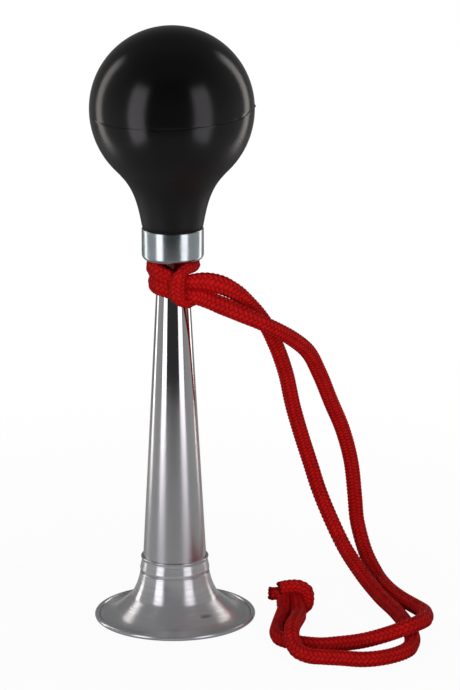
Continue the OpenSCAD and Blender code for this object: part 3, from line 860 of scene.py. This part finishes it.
def build_bulb(shape, colours):
    """The hollow rubber bulb, with the parting line of its mould and the ring where the neck begins."""
    foot = BULB_LOW.z
    neck_in = FERRULE_HIGH.x - shape.ferrule_wall - NECK_GAP
    corner = shape.ferrule_corner - shape.ferrule_wall
    outline = [(NECK_BORE, foot)]
    outline += arc((neck_in - corner, foot + corner), corner, -90, 0)
    outline += [(neck_in, FERRULE_HIGH.z + REST_GAP)]
    outline += bulb_side(shape, 0.0, shape.neck_radius)
    outline += reversed(bulb_side(shape, shape.bulb_wall, NECK_BORE))
    bm = spun(outline)

    def seam_lift(place):
        """Trimmed below the skin all round, with the moulding's stub left on the right."""
        stub = math.exp(-((place.y / SEAM_STUB_WIDTH) ** 2)) if place.x > 0 else 0.0
        return SEAM_STUB * stub - shape.seam_depth * (1.0 - stub)

    seam = Vector((0.0, 0.0, shape.seam_height))
    line_round(bm, seam, Vector(SEAM_NORMAL).normalized(), shape.seam_width, seam_lift)
    ring = Vector((0.0, 0.0, NECK_RING_HEIGHT))
    line_round(bm, ring, Vector((0, 0, 1)), NECK_RING_WIDTH, lambda place: NECK_RING_LIFT)

    piece = new_piece("squeeze_bulb", bm, rubber_finish(colours))
    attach(piece, "bulb")
    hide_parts("bulb")
    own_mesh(piece)


def tube_radius(shape, height):
    """Outer radius of the tapered tube at a height."""
    floor = FERRULE_LOW.z + shape.ferrule_wall
    share = (height - TUBE_LOW.z) / (floor - TUBE_LOW.z)
    return TUBE_HIGH.x + (shape.tube_narrow_radius - TUBE_HIGH.x) * share


def build_ferrule(shape, colours):
    """The plated cup that holds the bulb's neck, with a rounded corner below and a soft rim."""
    radius, wall, low = FERRULE_HIGH.x, shape.ferrule_wall, FERRULE_LOW.z
    corner = (radius - shape.ferrule_corner, low + shape.ferrule_corner)
    rounding, sharp = RIM_ROUNDING * wall, (1 - RIM_ROUNDING) * wall
    rim = (radius - rounding, FERRULE_HIGH.z - rounding)
    inner_rim = (radius - rounding, FERRULE_HIGH.z - sharp)
    hole = tube_radius(shape, low) + JOINT_GAP
    outline = [(hole, low)]
    outline += arc(corner, shape.ferrule_corner, -90, 0)
    outline += arc(rim, rounding, 0, 90)
    outline += arc(inner_rim, sharp, 90, 180)[1:]
    outline += arc(corner, shape.ferrule_corner - wall, 0, -90)
    outline += [(hole, low + wall)]
    piece = new_piece("plated_ferrule", spun(outline), zinc_finish(colours))
    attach(piece, "horn")
    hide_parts("ferrule")


def build_tube(shape, colours):
    """The tapered tube, with the edge that is turned over inside the ferrule."""
    floor = FERRULE_LOW.z + shape.ferrule_wall
    flange = shape.tube_narrow_radius + TUBE_FLANGE
    outline = [
        (TUBE_HIGH.x - SHEET, TUBE_LOW.z),
        (TUBE_HIGH.x, TUBE_LOW.z),
        (shape.tube_narrow_radius, floor),
        (flange, floor),
        (flange, TUBE_HIGH.z),
        (shape.tube_narrow_radius - SHEET, TUBE_HIGH.z),
    ]
    piece = new_piece("tapered_tube", spun(outline), chrome_finish(colours), sharp_angle=20)
    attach(piece, "horn")
    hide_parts("horn_cone")


def flare_side(foot, rim, thickness):
    """Side of the flare in arcs that meet smoothly; the first and the last take up what the others leave."""
    normals = [Vector((math.cos(angle), math.sin(angle))) for angle in np.radians(FLARE_ANGLES)]
    steps = [before - after for before, after in zip(normals, normals[1:])]
    rest = Vector(rim) - Vector(foot)
    for radius, step in zip(FLARE_RADII, steps[1:-1]):
        rest -= radius * step
    slack, tight = Matrix((steps[0], steps[-1])).transposed().inverted() @ rest
    place = Vector(foot)
    side = []
    for index, radius in enumerate((slack, *FLARE_RADII, tight)):
        centre = place + radius * normals[index]
        turn = (180 + angle for angle in FLARE_ANGLES[index:index + 2])
        side += arc(centre, radius + thickness, *turn)[min(index, 1):]
        place += radius * steps[index]
    return side


def build_bell(shape, colours):
    """The spun bell: a collar with a rolled lip, a groove, the flare and a rolled bead round the mouth."""
    top = BELL_HIGH.z
    bore = tube_radius(shape, top) + JOINT_GAP
    outline = arc((bore + LIP_RADIUS, top - LIP_RADIUS), LIP_RADIUS, LIP_FROM, LIP_TO)

    # The collar's side, down to its rounded lower edge
    drop = GROOVE_HALF + COLLAR_TURN * math.sin(math.radians(COLLAR_BEND))
    turn = (shape.collar_radius - COLLAR_TURN, shape.groove_height + drop)
    edge = arc(turn, COLLAR_TURN, COLLAR_LEAN, -COLLAR_BEND)
    wall = Vector((bore + SHEET, top - LIP_FOOT))
    outline += [tuple(wall.lerp(Vector(edge[0]), share)) for share in COLLAR_STOPS]
    outline += edge[1:]

    # The groove, and the shoulder under it
    foot = (shape.collar_radius, shape.groove_height - SHOULDER - GROOVE_HALF)
    shoulder = (foot[0] - SHOULDER, foot[1])
    outline += [(shape.collar_radius - shape.groove_depth, shape.groove_height)]
    outline += arc(shoulder, SHOULDER, SHOULDER_FROM, SHOULDER_TO, SHOULDER_STEPS)

    # The flare, its hem and the bead, which is flat where the horn stands on it
    bead = shape.rim_bead_radius
    centre = (BELL_HIGH.x - bead, BEAD_SHARE * bead)
    flat = math.degrees(math.asin(BEAD_SHARE))
    rim = (centre[0] - bead - HEM_GAP, centre[1] + HEM_RISE)
    outline += flare_side(foot, rim, 0.0)
    outline += [(rim[0], rim[1] - HEM_DEPTH)]
    outline += arc(centre, bead, BEAD_FROM, -flat)
    outline += arc(centre, bead, flat - 180, BEAD_TO - 360)

    # The inside, back up to the ridge under the tube and along its side
    ridge = TUBE_HIGH.x - SHEET
    outline += reversed(flare_side(foot, rim, SHEET))
    outline += [(ridge, shape.groove_height - 2 * GROOVE_HALF), (ridge, TUBE_LOW.z)]
    outline += [(TUBE_HIGH.x + JOINT_GAP, TUBE_LOW.z)]

    bm = spun(outline)
    ring = Vector((0, 0, TOOL_RING))
    line_round(bm, ring, Vector((0, 0, 1)), TOOL_RING_HALF, lambda place: -TOOL_RING_DEPTH)
    piece = new_piece("spun_bell", bm, spun_finish(colours), sharp_angle=50)
    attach(piece, "horn")
    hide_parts("horn_bell")


def build_reed(colours):
    """Finishes on the reed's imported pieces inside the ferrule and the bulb."""
    brass, zinc, rubber = brass_finish(colours), zinc_finish(colours), seal_finish(colours)
    finishes = {
        "reed_bung": brass, "reed_tube": brass, "reed_tongue": brass, "reed_clamp": brass,
        "reed_screw": zinc, "reed_seal": rubber,
    }
    for name, finish in finishes.items():
        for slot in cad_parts[name].material_slots:
            slot.material = finish


Chain = namedtuple("Chain", "place along side half travel marks")


def smooth_chain(routes, step):
    """One smooth curve through routes that meet end to end, in even steps within each route.

    Each route point has its place and its half widths. The chain holds the places, the directions along
    and sideways, the half widths, the travel from the start, and the index where each route starts or ends.
    """
    points = np.array([routes[0][0]] + [p for route in routes for p in route[1:]])
    gaps = np.linalg.norm(np.diff(points[:, :3], axis=0), axis=1)[:, None]
    slopes = np.diff(points, axis=0) / gaps
    inner = (gaps[1:] * slopes[:-1] + gaps[:-1] * slopes[1:]) / (gaps[1:] + gaps[:-1])
    tangents = np.vstack([slopes[:1], inner, slopes[-1:]])
    t = np.linspace(0.0, 1.0, CURVE_STEPS, endpoint=False)[:, None]
    samples = []
    for i, gap in enumerate(gaps):
        samples.append(
            (2 * t ** 3 - 3 * t ** 2 + 1) * points[i] + (t ** 3 - 2 * t ** 2 + t) * gap * tangents[i]
            + (3 * t ** 2 - 2 * t ** 3) * points[i + 1] + (t ** 3 - t ** 2) * gap * tangents[i + 1]
        )
    curve = np.vstack(samples + [points[-1:]])
    travel = np.concatenate([[0.0], np.cumsum(np.linalg.norm(np.diff(curve[:, :3], axis=0), axis=1))])

    stops, marks, corner = [0.0], [0], 0
    for route in routes:
        start = travel[corner * CURVE_STEPS]
        corner += len(route) - 1
        end = travel[corner * CURVE_STEPS]
        count = math.ceil((end - start) / step)
        stops += list(np.linspace(start, end, count + 1)[1:])
        marks.append(marks[-1] + count)
    rings = np.column_stack([np.interp(stops, travel, column) for column in curve.T])
    place, half = rings[:, :3], rings[:, 3:]
    along = np.gradient(place, axis=0)
    along /= np.linalg.norm(along, axis=1)[:, None]
    side = [np.cross(along[0], (0.0, 0.0, 1.0))]
    for direction in along:
        turned = side[-1] - (side[-1] @ direction) * direction
        side.append(turned / np.linalg.norm(turned))
    return Chain(place, along, np.array(side[1:]), half, np.array(stops), marks)


def plait(turn, travel, lanyard):
    """Height, from 0 to 1, of a plait over two and under two, and the place across the yarn on top."""
    left = lanyard.yarns * (turn + travel / lanyard.plait_lead)
    right = lanyard.yarns * (turn - travel / lanyard.plait_lead)

    def yarn(own, other, crest):
        """Height of the yarns that turn one way, and the place across each of them."""
        across = own % 1.0 - 0.5
        round_top = np.sqrt(np.clip(1.0 - (YARN_STEEPNESS * across) ** 2, 0.0, 1.0))
        phase = (np.floor(own) + other) % PLAIT_ROUND - crest
        wave = 0.5 + 0.5 * np.cos(math.tau / PLAIT_ROUND * phase)
        return YARN_ROUNDING * round_top + (1.0 - YARN_ROUNDING) * wave, across

    right_height, right_across = yarn(right, left, RIGHT_CREST)
    left_height, left_across = yarn(left, right, LEFT_CREST)
    on_top = right_height > left_height
    return np.where(on_top, right_height, left_height), np.where(on_top, right_across, left_across)


def add_braid(bm, chain, first, last, lanyard):
    """Rolls a grid into the stretch of braided cord between two rings of the chain."""
    layers = bm.verts.layers.float
    height_layer = layers.get(PLAIT_HEIGHT) or layers.new(PLAIT_HEIGHT)
    across_layer = layers.get(YARN_ACROSS) or layers.new(YARN_ACROSS)
    rings = last - first
    made = bmesh.ops.create_grid(bm, x_segments=lanyard.cord_sides, y_segments=rings, size=0.5)["verts"]
    grid = np.array([corner.co for corner in made])
    turn = np.rint((grid[:, 0] + 0.5) * lanyard.cord_sides) / lanyard.cord_sides
    ring = first + np.rint((grid[:, 1] + 0.5) * rings).astype(int)

    height, across = plait(turn, chain.travel[ring], lanyard)
    along, side = chain.along[ring], chain.side[ring]
    angle = math.tau * turn[:, None]
    spoke = np.cos(angle) * side + np.sin(angle) * np.cross(along, side)
    outward = chain.place[ring] * (1.0, 1.0, 0.0)
    outward -= np.sum(outward * along, axis=1)[:, None] * along
    outward /= np.linalg.norm(outward, axis=1)[:, None]
    beside = np.cross(along, outward)
    half = chain.half[ring] + (lanyard.plait_depth * (height - PLAIT_LEVEL))[:, None]
    place = chain.place[ring]
    place = place + half[:, :1] * np.sum(spoke * outward, axis=1)[:, None] * outward
    place = place + half[:, 1:] * np.sum(spoke * beside, axis=1)[:, None] * beside
    for corner, point, value, share in zip(made, place, height, across):
        corner.co = point
        corner[height_layer] = value
        corner[across_layer] = share


def close_braid(bm):
    """Joins the rolled grid's edges, closes its ends and turns its faces outwards."""
    bmesh.ops.remove_doubles(bm, verts=bm.verts, dist=MERGE_DISTANCE)
    bmesh.ops.holes_fill(bm, edges=[e for e in bm.edges if e.is_boundary], sides=0)
    bmesh.ops.recalc_face_normals(bm, faces=bm.faces)


def add_frayed_end(bm, place, along, side, radius, seed):
    """Adds the cut yarns that stand out of the end of a cord, in two rings."""
    draw = random.Random(seed)
    height_layer = bm.verts.layers.float[PLAIT_HEIGHT]
    place, along, side = Vector(place), Vector(along), Vector(side)
    for count, share, length in FRAY_RINGS:
        for k in range(count):
            angle = math.tau * (k + FRAY_SHIFT * draw.random()) / count
            spoke = Matrix.Rotation(angle, 3, along) @ side
            lean = along + (share * FRAY_LEAN + draw.uniform(-FRAY_WANDER, FRAY_WANDER)) * spoke
            reach = length * draw.uniform(*FRAY_LENGTHS)
            thick = FRAY_THICK * draw.uniform(*FRAY_WIDTHS)
            middle = place + share * float(radius) * spoke + FRAY_STAND * reach * along
            pose = Matrix.Translation(middle) @ lean.to_track_quat("Z", "X").to_matrix().to_4x4()
            stub = bmesh.ops.create_uvsphere(
                bm, u_segments=8, v_segments=6, radius=1.0,
                matrix=pose @ Matrix.Diagonal((thick, thick, reach, 1.0)),
            )
            # Each corner gets a random plait height, which the braid's finish turns into a darker red
            for corner in stub["verts"]:
                corner[height_layer] = draw.uniform(*FRAY_SHADES)


def build_lanyard(lanyard, colours):
    """The braided cord: its hitch round the tube, its two free strands and its knot."""
    def widened(route):
        """A free strand's route with the cord's half widths, taller where it leaves the hitch."""
        tall = list(EXIT_TALL) + [CORD_R] * (len(route) - len(EXIT_TALL))
        return [(*place, CORD_R, half) for place, half in zip(route, tall)]

    routes = [
        KNOT_WRAP[::-1], widened(UPPER_ROUTE)[::-1], HITCH_ROUTE, widened(LOWER_ROUTE), KNOT_TAIL,
    ]
    chain = smooth_chain(routes, lanyard.ring_step)
    braid = braid_finish(colours)
    wrap_end, upper_end, hitch_start, hitch_end, lower_end, tail_end = chain.marks

    def braided(name, node, stretches, cut_ends=()):
        """One piece of the braid on its stretches of the chain, with loose yarns at its cut ends."""
        bm = bmesh.new()
        for first, last in stretches:
            add_braid(bm, chain, first, last, lanyard)
        close_braid(bm)
        for ring, way, seed in cut_ends:
            along, radius = way * chain.along[ring], chain.half[ring][0]
            add_frayed_end(bm, chain.place[ring], along, chain.side[ring], radius, seed)
        piece = new_piece(name, bm, braid, sharp_angle=75)
        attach(piece, "horn")
        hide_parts(node)
        return piece

    braided("braided_hitch", "lanyard_hitch", [(hitch_start, hitch_end)])
    upper = braided("braided_upper_strand", "lanyard_upper_strand", [(upper_end, hitch_start)])
    lower = braided("braided_lower_strand", "lanyard_lower_strand", [(hitch_end, lower_end)])
    knot = braided("braided_knot", "lanyard_knot", [(wrap_end, upper_end), (lower_end, tail_end)], CUT_ENDS)


def build_camera(studio):
    """The camera at the photograph's place."""
    data = bpy.data.cameras.new("photo_camera")
    data.lens = studio.camera_lens
    data.sensor_width = SENSOR
    camera = bpy.data.objects.new("photo_camera", data)
    tilt = Matrix.Rotation(math.pi / 2 - studio.camera_pitch, 4, "X")
    turn = tilt @ Matrix.Rotation(studio.camera_roll, 4, "Z")
    camera.matrix_world = Matrix.Translation(studio.camera_place) @ turn
    bpy.context.scene.collection.objects.link(camera)
    bpy.context.scene.camera = camera


def add_lamp(name, place, target, size, radiance):
    """A rectangular lamp of a given brightness that faces a target; its power follows from its area."""
    data = bpy.data.lights.new(name, "AREA")
    data.shape = "RECTANGLE"
    data.size, data.size_y = size
    data.energy = radiance * math.pi * size[0] * size[1]
    lamp = bpy.data.objects.new(name, data)
    direction = Vector(target) - Vector(place)
    lamp.matrix_world = Matrix.Translation(place) @ direction.to_track_quat("-Z", "Y").to_matrix().to_4x4()
    lamp.visible_camera = False
    bpy.context.scene.collection.objects.link(lamp)
    return lamp


def soften_ends(data, share):
    """Fades a lamp towards its two short ends, over a share of its length."""
    data.use_nodes = True
    tree = data.node_tree
    spot = add_node(tree, "ShaderNodeNewGeometry").outputs["Parametric"]
    from_end = math_node(tree, "PINGPONG", axes_of(tree, spot)["Y"], 0.5)
    fade = smooth_step(tree, from_end, 0.0, share)
    tree.links.new(fade, tree.nodes["Emission"].inputs["Strength"])


def build_lamps(studio):
    """Four upright strips round the horn, and soft fills on three sides that metal doesn't show."""
    for strip in STRIPS:
        angle = math.radians(strip.azimuth)
        distance = strip.near * STRIP_DISTANCE
        middle = STRIP_EYE + strip.near * (STRIP_MIDDLE - STRIP_EYE)
        place = (distance * math.sin(angle), -distance * math.cos(angle), middle)
        size = (strip.near * strip.width, strip.near * STRIP_TALL)
        radiance = strip.share * getattr(studio, strip.setting)
        lamp = add_lamp(strip.name, place, (0.0, 0.0, middle), size, radiance)
        lamp.matrix_world @= Matrix.Rotation(math.radians(strip.lean), 4, "Z")
        lamp.data.color = strip.tint
        soften_ends(lamp.data, STRIP_FADE)
    for fill in FILLS:
        lamp = add_lamp(fill.name, fill.place, FILL_TARGET, fill.size, fill.share * studio.fill)
        lamp.visible_glossy = False


def build_world():
    """White behind the horn for the camera, and a grey room with a dark front for everything else."""
    world = bpy.data.worlds.new("studio_room")
    bpy.context.scene.world = world
    world.use_nodes = True
    tree = world.node_tree
    tree.nodes.clear()
    direction = add_node(tree, "ShaderNodeTexCoord").outputs["Generated"]
    axes = axes_of(tree, direction)
    front = smooth_step(tree, axes["Z"], *ROOM_FRONT)
    walls = smooth_step(tree, axes["Y"], *ROOM_SIDES, front, SIDE_GREY)
    for axis, step in (("Y", ROOM_REAR), ("Z", LOW_WALLS), ("Z", CEILING)):
        walls = math_node(tree, "MULTIPLY", walls, smooth_step(tree, axes[axis], *step))
    grey = math_node(tree, "MAXIMUM", walls, smooth_step(tree, axes["Z"], *BELOW))
    room = add_node(tree, "ShaderNodeBackground", None, {"Color": grey})
    paper = add_node(tree, "ShaderNodeBackground", None, {"Color": WHITE})
    rays = add_node(tree, "ShaderNodeLightPath").outputs
    backdrop = smooth_step(tree, axes["Y"], *BACKDROP)
    mirrored = math_node(tree, "MULTIPLY", rays["Is Glossy Ray"], backdrop)
    straight = math_node(tree, "MAXIMUM", rays["Is Camera Ray"], rays["Is Transmission Ray"])
    mixed = add_node(tree, "ShaderNodeMixShader", None, {
        0: math_node(tree, "MAXIMUM", straight, mirrored),
        1: room.outputs["Background"], 2: paper.outputs["Background"],
    })
    add_node(tree, "ShaderNodeOutputWorld", None, {"Surface": mixed.outputs["Shader"]})


def paper_finish():
    """White paper to the camera; to reflections a dimmer half-gloss table top of limited size."""
    material = bpy.data.materials.new("white_paper_floor")
    material.use_nodes = True
    tree = material.node_tree
    tree.nodes.clear()
    rays = add_node(tree, "ShaderNodeLightPath").outputs
    place = add_node(tree, "ShaderNodeTexCoord").outputs["Object"]
    radius = add_node(tree, "ShaderNodeVectorMath", {"operation": "LENGTH"}, {0: place}).outputs["Value"]
    axes = axes_of(tree, place)
    beside = math_node(tree, "ABSOLUTE", axes["X"])
    before = math_node(tree, "ABSOLUTE", axes["Y"])
    in_width = smooth_step(tree, beside, TABLE_WIDTH + TABLE_FADE, TABLE_WIDTH - TABLE_FADE)
    in_depth = smooth_step(tree, before, TABLE_DEPTH + TABLE_FADE, TABLE_DEPTH - TABLE_FADE)
    on_table = math_node(tree, "MULTIPLY", in_width, in_depth)

    paper = add_node(tree, "ShaderNodeBsdfDiffuse", None, {"Color": PAPER_WHITE})
    glow = add_node(tree, "ShaderNodeEmission", None, {"Color": WHITE})
    white = add_node(tree, "ShaderNodeMixShader", None, {
        0: smooth_step(tree, radius, *PAPER_GLOW), 1: paper.outputs["BSDF"], 2: glow.outputs["Emission"],
    })
    table = add_node(tree, "ShaderNodeBsdfPrincipled", None, {
        "Base Color": TABLE_GREY, "Roughness": TABLE_GLOSS,
    })
    open_air = add_node(tree, "ShaderNodeBsdfTransparent")
    off_table = math_node(tree, "SUBTRACT", 1.0, on_table)
    bounced = math_node(tree, "MAXIMUM", rays["Is Glossy Ray"], rays["Is Shadow Ray"])
    unseen = add_node(tree, "ShaderNodeMixShader", None, {
        0: math_node(tree, "MULTIPLY", off_table, bounced),
        1: table.outputs["BSDF"], 2: open_air.outputs["BSDF"],
    })

    grazing = add_node(tree, "ShaderNodeLayerWeight").outputs["Facing"]
    dimmed = math_node(tree, "MULTIPLY", rays["Is Glossy Ray"], on_table)
    dimmed = math_node(tree, "MULTIPLY", dimmed, smooth_step(tree, grazing, *PAPER_SHEEN))
    straight = math_node(tree, "MAXIMUM", rays["Is Camera Ray"], rays["Is Transmission Ray"])
    surface = add_node(tree, "ShaderNodeMixShader", None, {
        0: math_node(tree, "MAXIMUM", straight, dimmed),
        1: unseen.outputs["Shader"], 2: white.outputs["Shader"],
    })
    add_node(tree, "ShaderNodeOutputMaterial", None, {"Surface": surface.outputs["Shader"]})
    return material


def build_floor():
    """The pale floor that the horn stands on."""
    bm = bmesh.new()
    bmesh.ops.create_circle(bm, cap_ends=True, segments=FLOOR_SIDES, radius=FLOOR_RADIUS)
    mesh = bpy.data.meshes.new("floor")
    bm.to_mesh(mesh)
    bm.free()
    mesh.materials.append(paper_finish())
    floor = bpy.data.objects.new("floor", mesh)
    bpy.context.scene.collection.objects.link(floor)


class BULBHORN_OT_stage(bpy.types.Operator):
    """Sets the camera, the floor, the lamps and the room."""

    bl_idname = "bulb_horn.stage"
    bl_label = "Studio"

    def execute(self, context):
        studio = context.scene.bulb_horn_studio
        context.scene.view_settings.view_transform = "Standard"
        build_camera(studio)
        build_world()
        build_floor()
        build_lamps(studio)
        return {"FINISHED"}


class BULBHORN_OT_lanyard(bpy.types.Operator):
    """Builds the braided lanyard."""

    bl_idname = "bulb_horn.lanyard"
    bl_label = "Lanyard"

    def execute(self, context):
        build_lanyard(context.scene.bulb_horn_lanyard, context.scene.bulb_horn_colours)
        return {"FINISHED"}


class BULBHORN_OT_bulb(bpy.types.Operator):
    """Builds the rubber bulb."""

    bl_idname = "bulb_horn.bulb"
    bl_label = "Bulb"

    def execute(self, context):
        build_bulb(context.scene.bulb_horn_shape, context.scene.bulb_horn_colours)
        return {"FINISHED"}


class BULBHORN_OT_ferrule(bpy.types.Operator):
    """Builds the plated ferrule."""

    bl_idname = "bulb_horn.ferrule"
    bl_label = "Ferrule"

    def execute(self, context):
        build_ferrule(context.scene.bulb_horn_shape, context.scene.bulb_horn_colours)
        return {"FINISHED"}


class BULBHORN_OT_tube(bpy.types.Operator):
    """Builds the tapered tube."""

    bl_idname = "bulb_horn.tube"
    bl_label = "Tube"

    def execute(self, context):
        build_tube(context.scene.bulb_horn_shape, context.scene.bulb_horn_colours)
        return {"FINISHED"}


class BULBHORN_OT_bell(bpy.types.Operator):
    """Builds the spun bell."""

    bl_idname = "bulb_horn.bell"
    bl_label = "Bell"

    def execute(self, context):
        build_bell(context.scene.bulb_horn_shape, context.scene.bulb_horn_colours)
        return {"FINISHED"}


class BULBHORN_OT_reed(bpy.types.Operator):
    """Finishes the pieces of the reed."""

    bl_idname = "bulb_horn.reed"
    bl_label = "Reed"

    def execute(self, context):
        build_reed(context.scene.bulb_horn_colours)
        return {"FINISHED"}


class BULBHORN_PT_sidebar(bpy.types.Panel):
    """Lists the horn's pieces in the sidebar."""

    bl_label = "Bulb Horn"
    bl_space_type = "VIEW_3D"
    bl_region_type = "UI"
    bl_category = "Bulb Horn"

    def draw(self, context):
        for operator in OPERATORS:
            self.layout.operator(operator.bl_idname)


SETTINGS = {
    "bulb_horn_shape": BulbHornShape,
    "bulb_horn_lanyard": BulbHornLanyard,
    "bulb_horn_colours": BulbHornColours,
    "bulb_horn_studio": BulbHornStudio,
}
OPERATORS = (
    BULBHORN_OT_stage, BULBHORN_OT_lanyard, BULBHORN_OT_bulb, BULBHORN_OT_ferrule, BULBHORN_OT_tube,
    BULBHORN_OT_bell, BULBHORN_OT_reed,
)
CLASSES = (*SETTINGS.values(), *OPERATORS, BULBHORN_PT_sidebar)


def register():
    """Registers the classes, and puts their settings on the scene."""
    for each in CLASSES:
        bpy.utils.register_class(each)
    for name, group in SETTINGS.items():
        setattr(bpy.types.Scene, name, PointerProperty(type=group))


def unregister():
    """Takes the settings and the classes away again."""
    for name in SETTINGS:
        delattr(bpy.types.Scene, name)
    for each in reversed(CLASSES):
        bpy.utils.unregister_class(each)


def main():
    register()
    bpy.ops.bulb_horn.stage()
    bpy.ops.bulb_horn.lanyard()
    bpy.ops.bulb_horn.bulb()
    bpy.ops.bulb_horn.ferrule()
    bpy.ops.bulb_horn.tube()
    bpy.ops.bulb_horn.bell()
    bpy.ops.bulb_horn.reed()


if __name__ == "__main__":
    main()
